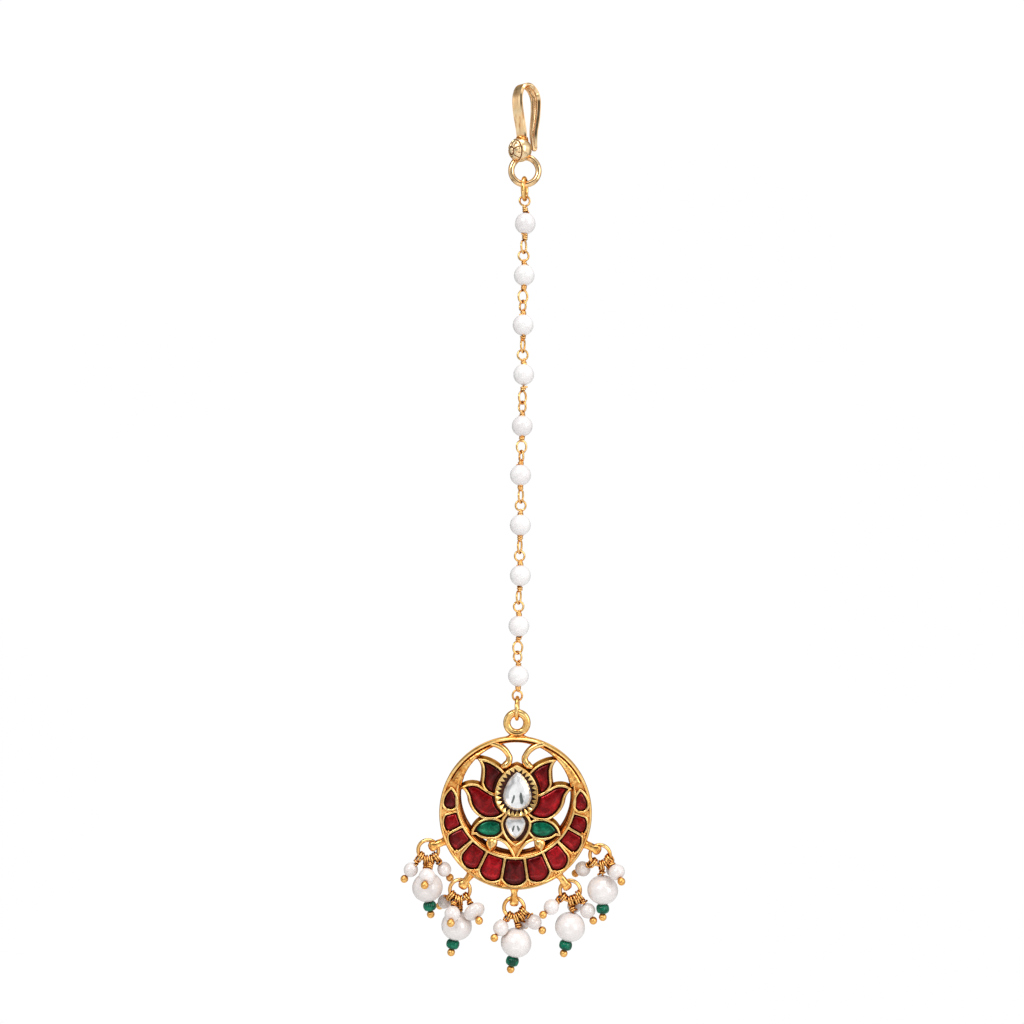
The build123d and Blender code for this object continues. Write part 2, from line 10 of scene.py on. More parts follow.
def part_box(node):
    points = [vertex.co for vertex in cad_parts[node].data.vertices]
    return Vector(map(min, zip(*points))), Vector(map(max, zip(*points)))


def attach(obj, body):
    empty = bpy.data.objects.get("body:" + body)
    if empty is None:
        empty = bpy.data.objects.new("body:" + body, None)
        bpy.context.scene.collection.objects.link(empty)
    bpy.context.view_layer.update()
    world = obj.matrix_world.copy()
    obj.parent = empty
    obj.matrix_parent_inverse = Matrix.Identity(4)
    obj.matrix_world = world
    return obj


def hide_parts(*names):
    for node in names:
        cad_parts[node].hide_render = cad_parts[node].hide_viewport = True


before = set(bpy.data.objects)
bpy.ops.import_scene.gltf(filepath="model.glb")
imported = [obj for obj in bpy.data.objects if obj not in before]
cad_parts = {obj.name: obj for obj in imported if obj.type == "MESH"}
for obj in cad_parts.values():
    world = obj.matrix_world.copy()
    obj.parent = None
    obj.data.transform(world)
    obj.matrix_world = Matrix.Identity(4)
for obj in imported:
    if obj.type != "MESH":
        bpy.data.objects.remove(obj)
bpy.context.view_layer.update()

MM = 0.001
TAU = 2 * math.pi
rng = np.random.default_rng(11)


def box_mm(node):
    lo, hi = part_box(node)
    return np.array(lo) / MM, np.array(hi) / MM


def mid_mm(node):
    lo, hi = box_mm(node)
    return (lo + hi) / 2


# ---------------------------------------------------------------- places read from the frame
CY = mid_mm("chain_pearl_01")[1]                    # plane the chain and the pendant hang in
P_LO, P_HI = box_mm("pendant_frame")
LUG_END = 16.0
DISC_Z = P_LO[2] + LUG_END                          # centre of the pendant's round outline
BALL = np.array([-1.02, -1.22, -10.86])

# ---------------------------------------------------------------- sizes, as in the part (mm)
DISC_R, OPEN_UP, OPEN_R, RIDGE_R = 12.95, 2.5, 9.5, 10.05
BACK_Y, PLATE_Y, RIDGE_Y, RIM_Y, HORN_Y, EGG_Y = 0.75, -0.55, -1.20, -1.10, -1.05, -1.55
LOTUS_X = 0.12
DIVIDERS = [(9.3, 12.3), (27.6, 35.2), (45.5, 56.9), (62.0, 74.2), (77.4, 90.3)]

UPPER_PETAL = [(6.30, 9.05), (4.55, 8.62), (2.30, 6.95), None, (1.50, 5.00), None,
               (1.80, 3.40), None, (3.65, 3.13), (5.15, 3.90), (5.75, 5.15), (5.62, 6.20),
               (5.58, 7.25), (5.78, 8.20)]
LOWER_PETAL = [(9.10, 4.33), (7.50, 4.80), (6.20, 4.50), (5.00, 3.72), (3.65, 3.13), None,
               (1.60, 2.60), None, (1.60, 0.60), (3.60, -0.82), (5.30, -0.84), (6.95, 0.30),
               (7.85, 2.10), (8.30, 3.45)]
EGG = [(0.00, 8.28), (2.58, 6.50), (3.68, 3.10), (2.60, 0.50), (0.00, -0.50),
       (-2.60, 0.50), (-3.68, 3.10), (-2.58, 6.50)]
EGG_STONE = [(0.14, 7.20), (1.72, 5.50), (2.55, 3.05), (1.90, 1.40), (0.14, 0.62),
             (-1.62, 1.40), (-2.27, 3.05), (-1.44, 5.50)]
BUD = [(1.50, -0.10), (2.22, -0.95), (2.38, -2.05), (1.72, -3.80), (0.00, -5.35),
       (-1.72, -3.80), (-2.38, -2.05), (-2.22, -0.95), (-1.50, -0.10), None]
LEAF = [(7.40, -3.50), (6.45, -1.72), (4.70, -0.95), (3.40, -1.00), (2.35, -1.50), None,
        (2.15, -2.90), (2.95, -3.85), (4.40, -4.22), (5.70, -4.02), (6.70, -3.42), None]
END_STONE = [(10.92, 4.22), (11.86, 3.22), (12.32, 1.95), (12.02, 0.82), (11.08, 0.40),
             (10.14, 0.82), (9.86, 2.00), (10.18, 3.20)]
FOOT_WEB = [(0.30, -7.60), (0.75, -5.85), (3.20, -4.75), None, (3.20, -3.60), None,
            (-3.20, -3.60), None, (-3.20, -4.75), (-0.75, -5.85), (-0.30, -7.60), None]
GOLD_BUD = [(3.15, -4.62), (4.10, -4.35), (4.90, -4.75), (4.95, -5.60), (4.35, -6.75), None,
            (3.95, -6.60), (3.20, -5.60)]
SPEAR = [(3.10, -4.62), (3.45, -4.22), (4.10, -4.05), (4.72, -4.32), (5.00, -4.95), (4.86, -5.65),
         (4.60, -6.25), (4.40, -6.80), (4.10, -6.40), (3.62, -5.80), (3.22, -5.25)]
SCROLL = [(4.30, 11.75), (2.10, 10.72), (1.30, 9.50), (1.45, 8.65), (2.30, 7.95)]

DROPS = [   # lug degrees, hang degrees, loop degrees, pearl x and z from the ring, lean
    (-67.0, -55.0, -12, -0.02, -6.30, 7.7),
    (-35.0, -33.0, 2, -0.45, -6.07, -10.9),
    (0.0, 0.0, 10, 0.45, -5.90, -10.6),
    (35.9, 35.5, 2, 0.08, -6.15, -12.5),
    (66.4, 44.5, 8, 0.55, -5.90, 0.9),
]
SEEDS = [   # drop, loop degrees, x, y, z from the ring, half width, half height
    (1, -50, -2.90, 0.00, -3.40, 1.22, 1.24), (1, 20, 0.05, -2.95, -3.66, 1.42, 1.26),
    (1, 50, 2.75, 0.85, -3.45, 1.22, 1.26), (2, -56, -2.70, 1.90, -2.60, 1.20, 1.20),
    (2, -28, -1.12, -2.70, -3.30, 1.32, 1.30), (2, 44, 2.55, -1.75, -3.15, 1.92, 1.18),
    (3, -32, -2.19, -1.10, -3.16, 1.34, 1.34), (3, 41, 1.65, 2.50, -3.11, 1.26, 1.26),
    (3, 72, 3.50, 0.00, -2.40, 1.28, 1.28), (4, -50, -3.20, -1.30, -2.50, 1.34, 1.34),
    (4, 32, 0.90, 2.60, -3.35, 1.26, 1.26), (4, 62, 3.05, 0.00, -3.40, 1.30, 1.26),
    (5, -42, -2.80, 1.55, -2.80, 1.32, 1.32), (5, 40, 2.45, 2.30, -3.15, 1.26, 1.26),
    (5, 70, 2.70, -2.00, -2.35, 1.42, 1.28),
]
CHAIN = [   # x of the joint below, turn of the upper and lower eye, turns above and below
    (-0.12, 0, 67, 3, 3), (-0.12, 0, 30, 2, 3), (0.00, -62, 75, 3, 2), (0.07, 0, 50, 3, 2),
    (0.04, -55, 15, 2, 3), (0.06, -75, 70, 3, 3), (0.02, 0, 75, 2, 3), (-0.02, 10, 72, 3, 2),
    (-0.06, 12, 25, 3, 2), (0.00, -48, 0, 2, 3),
]


# ---------------------------------------------------------------- materials
def nodes_of(name):
    m = bpy.data.materials.new(name)
    m.use_nodes = True
    t = m.node_tree
    return m, t, t.nodes["Principled BSDF"]


def add(t, kind, **props):
    n = t.nodes.new(kind)
    for k, v in props.items():
        if k in n.inputs:
            n.inputs[k].default_value = v
        else:
            setattr(n, k, v)
    return n


def noise(t, scale, detail=3.0, rough=0.5, distort=0.0):
    c = t.nodes.new("ShaderNodeTexCoord")
    n = add(t, "ShaderNodeTexNoise", Scale=scale, Detail=detail, Roughness=rough,
            Distortion=distort)
    t.links.new(c.outputs["Object"], n.inputs["Vector"])
    return n.outputs["Fac"]


def ramp(t, src, stops):
    r = t.nodes.new("ShaderNodeValToRGB")
    els = r.color_ramp.elements
    while len(els) < len(stops):
        els.new(0.5)
    for e, (pos, col) in zip(els, stops):
        e.position = pos
        e.color = (*col, 1.0)
    t.links.new(src, r.inputs["Fac"])
    return r.outputs["Color"]


def ranged(t, src, low, high, to_low, to_high):
    r = add(t, "ShaderNodeMapRange")
    for k, v in (("From Min", low), ("From Max", high), ("To Min", to_low), ("To Max", to_high)):
        r.inputs[k].default_value = v
    t.links.new(src, r.inputs["Value"])
    return r.outputs["Result"]


def mix(t, fac, a, b, how="MIX"):
    n = t.nodes.new("ShaderNodeMix")
    n.data_type = "RGBA"
    n.blend_type = how
    if isinstance(fac, float):
        n.inputs["Factor"].default_value = fac
    else:
        t.links.new(fac, n.inputs["Factor"])
    for s, v in (("A", a), ("B", b)):
        sock = [i for i in n.inputs if i.name == s and i.type == "RGBA"][0]
        if isinstance(v, tuple):
            sock.default_value = (*v, 1.0)
        else:
            t.links.new(v, sock)
    return [o for o in n.outputs if o.type == "RGBA"][0]


def bump(t, bsdf, height, strength, distance, prior=None):
    b = add(t, "ShaderNodeBump", Strength=strength, Distance=distance)
    t.links.new(height, b.inputs["Height"])
    if prior is not None:
        t.links.new(prior.outputs["Normal"], b.inputs["Normal"])
    t.links.new(b.outputs["Normal"], bsdf.inputs["Normal"])
    return b


def gold(name, bright, dark, rough, grain, depth, recess=0.0006, patina_and_shade=0.9, streaks=None,
         oxide=0.0):
    """Antique gold: worn bright on what stands proud, oxide and painted shade kept in the recesses."""
    m, t, b = nodes_of(name)
    b.inputs["Metallic"].default_value = 1.0
    b.inputs["Specular Tint"].default_value = (0.90, 0.62, 0.34, 1.0)
    tone = ramp(t, noise(t, 700, 4, 0.6), [(0.32, dark), (0.60, bright)])
    ao = add(t, "ShaderNodeAmbientOcclusion", Distance=recess)
    ao.samples = 8
    # recesses darkened through the AO node: part the piece's oxide, part painted shade, with noise varying
    # how strong
    recess_oxide_and_shade = ramp(t, ao.outputs["AO"], [(0.20, (0.085, 0.022, 0.008)), (0.48, (0.44, 0.165, 0.058)),
                                        (0.70, (0.84, 0.52, 0.27)), (0.90, (1, 1, 1))])
    grime_and_shade = ramp(t, noise(t, 1900, 3, 0.65), [(0.30, (patina_and_shade * 0.6,) * 3), (0.60, (patina_and_shade,) * 3)])
    tone = mix(t, grime_and_shade, tone, mix(t, 1.0, tone, recess_oxide_and_shade, "MULTIPLY"))
    if oxide:
        spots = ramp(t, noise(t, 1500, 5, 0.68, 0.4), [(0.34, (0.38, 0.14, 0.05)), (0.42, (0.76, 0.50, 0.28)),
                                                       (0.49, (1, 1, 1))])
        tone = mix(t, oxide, tone, mix(t, 1.0, tone, spots, "MULTIPLY"))
    t.links.new(ranged(t, ao.outputs["AO"], 0.3, 0.9, min(rough + 0.22, 0.7), rough),
                b.inputs["Roughness"])
    if streaks:
        c = t.nodes.new("ShaderNodeTexCoord")
        mp = t.nodes.new("ShaderNodeMapping")
        mp.inputs["Scale"].default_value = streaks
        t.links.new(c.outputs["Object"], mp.inputs["Vector"])
        n = add(t, "ShaderNodeTexNoise", Scale=1.0, Detail=2.0, Roughness=0.5)
        t.links.new(mp.outputs["Vector"], n.inputs["Vector"])
        lines = ramp(t, n.outputs["Fac"], [(0.36, (0.52, 0.36, 0.27)), (0.52, (1, 1, 1))])
        tone = mix(t, 0.8, tone, mix(t, 1.0, tone, lines, "MULTIPLY"))
        first = bump(t, b, n.outputs["Fac"], 0.3, 0.00004)
    else:
        first = bump(t, b, noise(t, grain * 2.3, 2, 0.5), 0.5, depth * 0.35)
    t.links.new(tone, b.inputs["Base Color"])
    bump(t, b, noise(t, grain, 3, 0.5), 0.5, depth, first)
    return m


def gem(name, light, deep, grain=420, rough=0.16):
    """Set stone over foil: colour pools in patches under a polished face, darkened towards the setting walls
    as painted shade.
    """
    m, t, b = nodes_of(name)
    b.inputs["Metallic"].default_value = 0.55
    b.inputs["IOR"].default_value = 1.45
    b.inputs["Specular IOR Level"].default_value = 0.20
    b.inputs["Coat Weight"].default_value = 0.22
    b.inputs["Coat Roughness"].default_value = 0.05
    b.inputs["Coat IOR"].default_value = 1.45
    tone = ramp(t, noise(t, grain, 4, 0.6, 0.9), [(0.38, deep), (0.60, light)])
    streak = ramp(t, noise(t, 1100, 3, 0.6, 2.2), [(0.42, (0.72,) * 3), (0.60, (1.22,) * 3)])
    tone = mix(t, 1.0, tone, streak, "MULTIPLY")
    ao = add(t, "ShaderNodeAmbientOcclusion", Distance=0.0007)
    ao.samples = 8
    # painted shade: stone colour darkened where the AO node finds the setting walls close
    edge = ramp(t, ao.outputs["AO"], [(0.38, (1, 1, 1)), (0.90, (0, 0, 0))])
    tone = mix(t, edge, tone, tuple(c * 0.20 + 0.003 for c in deep))
    t.links.new(tone, b.inputs["Base Color"])
    t.links.new(ranged(t, noise(t, 700, 2), 0.3, 0.7, rough * 0.7, rough * 1.6),
                b.inputs["Roughness"])
    bump(t, b, noise(t, 430, 3, 0.5, 0.6), 0.5, 0.00014)
    return m


def pearl(name, body, shade, wrinkle=0.25):
    """Pearl: milky body with faint warm and rosy patches under a soft lustre, dimmed near wires and
    neighbours as painted shade.
    """
    m, t, b = nodes_of(name)
    patches = ramp(t, noise(t, 170, 0, 0.5, 0.3), [(0.34, shade), (0.60, body)])
    ao = add(t, "ShaderNodeAmbientOcclusion", Distance=0.0012)
    ao.samples = 16
    # painted shade: body dimmed to a warm grey where the AO node finds wires or neighbours close
    warm = ramp(t, ao.outputs["AO"], [(0.10, (0.78, 0.66, 0.57)), (0.60, (0.99, 0.96, 0.94)),
                                      (0.80, (1, 1, 1))])
    t.links.new(mix(t, 1.0, patches, warm, "MULTIPLY"), b.inputs["Base Color"])
    b.inputs["IOR"].default_value = 1.85
    t.links.new(ranged(t, noise(t, 240, 0), 0.3, 0.7, 0.15, 0.21), b.inputs["Roughness"])
    bump(t, b, noise(t, 300, 0), wrinkle, 0.00005)
    return m


def clear_stone(name, low, mid, high, metal=0.55):
    """Clear stone over crumpled silver foil."""
    m, t, b = nodes_of(name)
    b.inputs["Metallic"].default_value = metal
    b.inputs["Coat Weight"].default_value = 0.6
    b.inputs["Coat Roughness"].default_value = 0.03
    b.inputs["Coat IOR"].default_value = 1.5
    tone = ramp(t, noise(t, 380, 2, 0.5, 1.2), [(0.30, low), (0.5, mid), (0.7, high)])
    t.links.new(tone, b.inputs["Base Color"])
    t.links.new(ranged(t, noise(t, 900, 2), 0.3, 0.7, 0.10, 0.26), b.inputs["Roughness"])
    bump(t, b, noise(t, 420, 1, 0.4, 0.8), 0.4, 0.00010)
    return m


def green_glass(name):
    m, t, b = nodes_of(name)
    tone = ramp(t, noise(t, 900, 2), [(0.38, (0.0, 0.060, 0.034)), (0.60, (0.0, 0.20, 0.105))])
    t.links.new(tone, b.inputs["Base Color"])
    b.inputs["IOR"].default_value = 1.52
    b.inputs["Transmission Weight"].default_value = 0.10
    b.inputs["Specular IOR Level"].default_value = 0.15
    b.inputs["Coat Weight"].default_value = 0.22
    b.inputs["Coat Roughness"].default_value = 0.03
    t.links.new(ranged(t, noise(t, 700, 2), 0.3, 0.7, 0.10, 0.24), b.inputs["Roughness"])
    bump(t, b, noise(t, 1200, 2), 0.25, 0.00003)
    return m


def seat(name, deep, light):
    """Bed of a setting, dark as oxide and as painted shade, seen as the dark crease round its stone."""
    m, t, b = nodes_of(name)
    b.inputs["Metallic"].default_value = 0.7
    tone = ramp(t, noise(t, 1800, 3), [(0.35, deep), (0.7, light)])
    t.links.new(tone, b.inputs["Base Color"])
    t.links.new(ranged(t, noise(t, 900, 2), 0.3, 0.7, 0.45, 0.7), b.inputs["Roughness"])
    bump(t, b, noise(t, 1500, 2), 0.5, 0.00005)
    return m


PALE, WARM = (1.0, 0.620, 0.215), (0.86, 0.375, 0.080)
CAST = gold("gold_cast", PALE, WARM, 0.19, 1100, 0.00012, 0.0010, 1.0, oxide=0.75)
FIELD = gold("gold_field", PALE, WARM, 0.20, 1300, 0.00016, 0.0008, 1.0, oxide=1.0)
BEZEL = gold("gold_bezel", (1.0, 0.71, 0.30), (0.96, 0.55, 0.15), 0.15, 1300, 0.00006, 0.0007, 1.0,
             oxide=0.25)
# very dark gold for the opening's inner lip: its darkness is painted shade
LIP_PAINTED_SHADE = gold("gold_recess_painted_shade", (0.46, 0.19, 0.055), (0.18, 0.060, 0.020), 0.40, 1400, 0.0001, 0.001, 1.0)
SKIRT = gold("gold_skirt", (0.70, 0.33, 0.10), (0.36, 0.14, 0.045), 0.32, 1300, 0.0001, 0.0009, 1.0)
SMOOTH = gold("gold_smooth", (1.0, 0.69, 0.28), (0.97, 0.54, 0.15), 0.13, 800, 0.00006, 0.0008, 0.95,
              oxide=0.3)
RING = gold("gold_pale", (1.0, 0.72, 0.41), (0.97, 0.60, 0.28), 0.12, 800, 0.00002, 0.0008, 0.9)
STRIP = gold("gold_strip", (1.0, 0.76, 0.45), (0.97, 0.62, 0.30), 0.13, 1600, 0.00001, 0.0006, 0.8,
             (1900, 1900, 90))
CARVED = gold("gold_carved", (0.34, 0.15, 0.075), (0.13, 0.050, 0.028), 0.40, 1500, 0.00006, 0.0006, 0.9)
WIRE = gold("gold_wire", (1.0, 0.66, 0.27), (0.93, 0.48, 0.13), 0.15, 900, 0.00002, 0.0010, 1.0)
TWIST = gold("gold_twist", (0.98, 0.60, 0.21), (0.80, 0.38, 0.10), 0.16, 900, 0.00002, 0.0014, 1.0)
MATTE = gold("gold_matte", (0.95, 0.55, 0.18), (0.84, 0.42, 0.11), 0.36, 2000, 0.00004, 0.0006, 0.8)
ENGRAVED = gold("gold_engraved", (1.0, 0.79, 0.49), (0.98, 0.65, 0.33), 0.24, 900, 0.00002, 0.00035,
                1.0)
SEAT = seat("setting_bed", (0.030, 0.009, 0.006), (0.11, 0.034, 0.016))
SEAT_RED = seat("setting_bed_red", (0.020, 0.003, 0.002), (0.10, 0.012, 0.007))
RUBY = gem("ruby", (0.31, 0.003, 0.005), (0.14, 0.002, 0.003))
RUBY_LIGHT = gem("ruby_light", (0.41, 0.004, 0.009), (0.19, 0.002, 0.004))
RUBY_DEEP = gem("ruby_deep", (0.16, 0.004, 0.004), (0.066, 0.003, 0.003))
EMERALD = gem("emerald", (0.004, 0.175, 0.090), (0.002, 0.075, 0.038), 700)
CLEAR = clear_stone("kundan", (0.42, 0.42, 0.43), (0.84, 0.84, 0.85), (0.98, 0.98, 0.98), 0.5)
# dark facets laid on the clear stones: painted reflection
CLEAR_PAINTED_REFLECTION = clear_stone("kundan_painted_reflection", (0.05, 0.06, 0.055), (0.10, 0.12, 0.11),
                          (0.20, 0.22, 0.21), 0.3)
PEARL = pearl("pearl_round", (0.91, 0.88, 0.88), (0.85, 0.81, 0.81), 0.04)
PEARL_BIG = pearl("pearl_drop", (0.86, 0.81, 0.795), (0.78, 0.72, 0.70), 0.16)
PEARL_SEED = pearl("pearl_seed", (0.87, 0.815, 0.80), (0.78, 0.71, 0.68), 0.30)
GREEN = green_glass("green_glass")


# ---------------------------------------------------------------- mesh tools
class Bag:
    """Gathers pieces of mesh, each with its own material, into one object."""

    def __init__(self):
        self.v, self.f, self.m, self.flat, self.mats, self.n = [], [], [], [], [], 0

    def put(self, mesh, mat, flat=False):
        v, f = mesh
        if mat not in self.mats:
            self.mats.append(mat)
        k = self.mats.index(mat)
        self.v.append(np.asarray(v, float))
        self.f += [[i + self.n for i in face] for face in f]
        self.m += [k] * len(f)
        self.flat += [flat] * len(f)
        self.n += len(v)
        return self

    def make(self, name, body, slot=None, stands_for=(), sharp=40.0):
        me = bpy.data.meshes.new(name)
        me.from_pydata((np.concatenate(self.v) * MM).tolist(), [], self.f)
        for mat in self.mats:
            me.materials.append(mat)
        me.polygons.foreach_set("material_index", self.m)
        me.polygons.foreach_set("use_smooth", [not x for x in self.flat])
        me.validate()
        bm = bmesh.new()
        bm.from_mesh(me)
        bmesh.ops.recalc_face_normals(bm, faces=bm.faces)
        bm.to_mesh(me)
        bm.free()
        me.update()
        me.set_sharp_from_angle(angle=math.radians(sharp))
        o = bpy.data.objects.new(name, me)
        bpy.context.scene.collection.objects.link(o)
        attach(o, body)
        if stands_for:
            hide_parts(*stands_for)
        return o


def unit(v):
    v = np.asarray(v, float)
    return v / np.linalg.norm(v, axis=-1, keepdims=True)


def tangents(p, closed):
    if closed:
        return unit(np.roll(p, -1, 0) - np.roll(p, 1, 0))
    d = np.empty_like(p)
    d[1:-1] = p[2:] - p[:-2]
    d[0], d[-1] = p[1] - p[0], p[-1] - p[-2]
    return unit(d)


def transport(p, closed, first=None):
    """A pair of side vectors at each point that turn as little as possible."""
    t = tangents(p, closed)
    seed = np.array(first if first is not None else (0.31, 0.17, 0.93))
    s = seed - t[0] * np.dot(seed, t[0])
    side = [unit(s)]
    for i in range(1, len(p)):
        s = side[-1] - t[i] * np.dot(side[-1], t[i])
        side.append(unit(s))
    side = np.array(side)
    if closed:
        s = side[-1] - t[0] * np.dot(side[-1], t[0])
        s = unit(s)
        twist = math.atan2(np.dot(np.cross(side[0], s), t[0]), np.dot(side[0], s))
        a = -twist * np.arange(len(p)) / len(p)
        other = np.cross(t, side)
        side = side * np.cos(a)[:, None] + other * np.sin(a)[:, None]
    return t, side, np.cross(t, side)


def skin(rings, closed_long=False, cap=True):
    """Quads over rings of points, each ring closed."""
    rings = np.asarray(rings, float)
    n, k, _ = rings.shape
    faces = []
    for i in range(n if closed_long else n - 1):
        j = (i + 1) % n
        for a in range(k):
            b = (a + 1) % k
            faces.append([i * k + a, i * k + b, j * k + b, j * k + a])
    if cap and not closed_long:
        faces.append(list(range(k))[::-1])
        faces.append([(n - 1) * k + a for a in range(k)])
    return rings.reshape(-1, 3), faces


def tube(p, r, sides=12, closed=False, round_ends=True, wobble=0.0, first=None):
    p = np.asarray(p, float)
    r = np.broadcast_to(np.asarray(r, float), (len(p),)).copy()
    if not closed and round_ends:
        t = tangents(p, False)
        head = [(p[0] - t[0] * r[0] * math.sin(a), r[0] * math.cos(a))
                for a in np.radians([80, 55, 28])]
        tail = [(p[-1] + t[-1] * r[-1] * math.sin(a), r[-1] * math.cos(a))
                for a in np.radians([28, 55, 80])]
        p = np.vstack([[h[0] for h in head], p, [q[0] for q in tail]])
        r = np.concatenate([[h[1] for h in head], r, [q[1] for q in tail]])
    _, s, o = transport(p, closed, first)
    a = np.arange(sides) * TAU / sides
    rr = r[:, None] * (1 + wobble * rng.normal(size=(len(p), 1))) * np.ones((1, sides))
    rings = (p[:, None, :] + rr[:, :, None] * (
        np.cos(a)[None, :, None] * s[:, None, :] + np.sin(a)[None, :, None] * o[:, None, :]))
    return skin(rings, closed)


def hoop(at, normal, major, minor, n=72, sides=14, wobble=0.0, stretch=1.0, start=0.0, gap=0.0):
    """Ring of round wire. gap leaves a cut of that many degrees."""
    nrm = unit(normal)
    a = unit(np.cross(nrm, (0.0, 0.0, 1.0)) if abs(nrm[2]) < 0.9 else np.cross(nrm, (1.0, 0, 0)))
    b = np.cross(nrm, a)
    lim = TAU - math.radians(gap)
    ang = math.radians(start) + np.arange(n) * lim / (n if not gap else n - 1)
    rad = major * (1 + wobble * np.sin(2 * ang + 0.7) + 0.4 * wobble * np.sin(3 * ang))
    p = np.asarray(at) + (rad * np.cos(ang))[:, None] * a + (rad * np.sin(ang) * stretch)[:, None] * b
    return tube(p, minor, sides, closed=not gap)


def lathe(profile, at, axis, n=48, bumps=None):
    """Turned solid: profile rows are (radius, height along axis)."""
    ax = unit(axis)
    a = unit(np.cross(ax, (0.0, 1.0, 0.0)) if abs(ax[1]) < 0.9 else np.cross(ax, (1.0, 0, 0)))
    b = np.cross(ax, a)
    ang = np.arange(n) * TAU / n
    rings = []
    for r, h in profile:
        rr = r * (bumps(ang, h) if bumps is not None else np.ones(n))
        rings.append(np.asarray(at) + ax * h + rr[:, None] * (
            np.cos(ang)[:, None] * a + np.sin(ang)[:, None] * b))
    return skin(rings)


def arc3(a, m, b, step=0.16):
    """Points on the arc from a through m to b, without its last point."""
    (ax, ay), (mx, my), (bx, by) = a, m, b
    d = 2 * (ax * (my - by) + mx * (by - ay) + bx * (ay - my))
    if abs(d) < 1e-9:
        return line2(a, b, step)
    ux = ((ax**2 + ay**2) * (my - by) + (mx**2 + my**2) * (by - ay) + (bx**2 + by**2) * (ay - my)) / d
    uy = ((ax**2 + ay**2) * (bx - mx) + (mx**2 + my**2) * (ax - bx) + (bx**2 + by**2) * (mx - ax)) / d
    r = math.hypot(ax - ux, ay - uy)
    t0, t1, t2 = (math.atan2(q[1] - uy, q[0] - ux) for q in (a, m, b))
    ccw = (t1 - t0) % TAU < (t2 - t0) % TAU
    span = (t2 - t0) % TAU if ccw else -((t0 - t2) % TAU)
    n = max(3, int(abs(span) * r / step))
    t = t0 + span * np.arange(n) / n
    return np.c_[ux + r * np.cos(t), uy + r * np.sin(t)]


def line2(a, b, step=0.16):
    a, b = np.array(a, float), np.array(b, float)
    n = max(1, int(np.linalg.norm(b - a) / step))
    return a + (b - a) * (np.arange(n) / n)[:, None]


def outline(rows, flip=False, dx=0.0, step=0.16):
    s = -1.0 if flip else 1.0
    pts = [None if p is None else (s * p[0] + dx, p[1]) for p in rows]
    out = []
    for i in range(0, len(pts), 2):
        a, m, b = pts[i], pts[i + 1], pts[(i + 2) % len(pts)]
        out.append(line2(a, b, step) if m is None else arc3(a, m, b, step))
    p = np.vstack(out)
    return p[::-1] if area(p) < 0 else p


def area(p):
    q = np.roll(p, -1, 0)
    return 0.5 * np.sum(p[:, 0] * q[:, 1] - q[:, 0] * p[:, 1])


def normals2(p, closed=True):
    """Outward mitred normals of an anticlockwise line."""
    if closed:
        a, b = p - np.roll(p, 1, 0), np.roll(p, -1, 0) - p
    else:
        a, b = np.empty_like(p), np.empty_like(p)
        a[1:], b[:-1] = p[1:] - p[:-1], p[1:] - p[:-1]
        a[0], b[-1] = b[0], a[-1]
    na = unit(np.c_[a[:, 1], -a[:, 0]])
    nb = unit(np.c_[b[:, 1], -b[:, 0]])
    m = unit(na + nb + 1e-12)
    k = 1 / np.clip(np.sum(m * na, 1), 0.5, 1)
    return m * k[:, None]


def smooth2(p, rounds=1, closed=True, keep=None):
    p = p.copy()
    for _ in range(rounds):
        q = 0.25 * np.roll(p, 1, 0) + 0.5 * p + 0.25 * np.roll(p, -1, 0)
        if not closed:
            q[0], q[-1] = p[0], p[-1]
        if keep is not None:
            q[keep] = p[keep]
        p = q
    return p


def pend(p2, depth):
    """Pendant drawing (u, v) and depth from the chain's plane, to the row's frame."""
    p2 = np.asarray(p2, float)
    d = np.broadcast_to(np.asarray(depth, float), (len(p2),))
    return np.c_[p2[:, 0], CY + d, DISC_Z + p2[:, 1]]


def ridge(line, profile, closed=True, wander=0.0):
    """Sweeps a profile of (offset outward, depth) rows along a flat line."""
    nrm = normals2(line, closed)
    k = len(line)
    w = 1 + wander * np.sin(np.arange(k) * 0.55 + rng.uniform(0, 6)) if wander else np.ones(k)
    rings = [[pend(line[i:i + 1] + nrm[i] * (o * w[i]), d)[0] for o, d in profile] for i in range(k)]
    return skin(np.array(rings), closed)


def faded(line, profile, low, fade):
    """Like ridge along an open line, sinking to a depth over the first and last points."""
    nrm, k = normals2(line, False), len(line)
    rings = []
    for i in range(k):
        w = min(1.0, (i + 0.5) / fade, (k - i - 0.5) / fade)
        rise = math.sin(w * math.pi / 2)
        rings.append([pend(line[i:i + 1] + nrm[i] * (o * (0.35 + 0.65 * rise)),
                           low + (d - low) * rise if d < low else d)[0] for o, d in profile])
    return skin(np.array(rings))


def bead_profile(half, top, foot, n=6):
    """Round-topped wall."""
    rise = min(half * 0.95, abs(top - foot))
    a = np.linspace(0, math.pi, n)
    cap = [(half * math.cos(t), top + rise * (1 - math.sin(t))) for t in a]
    return [(half, foot)] + cap + [(-half, foot)]


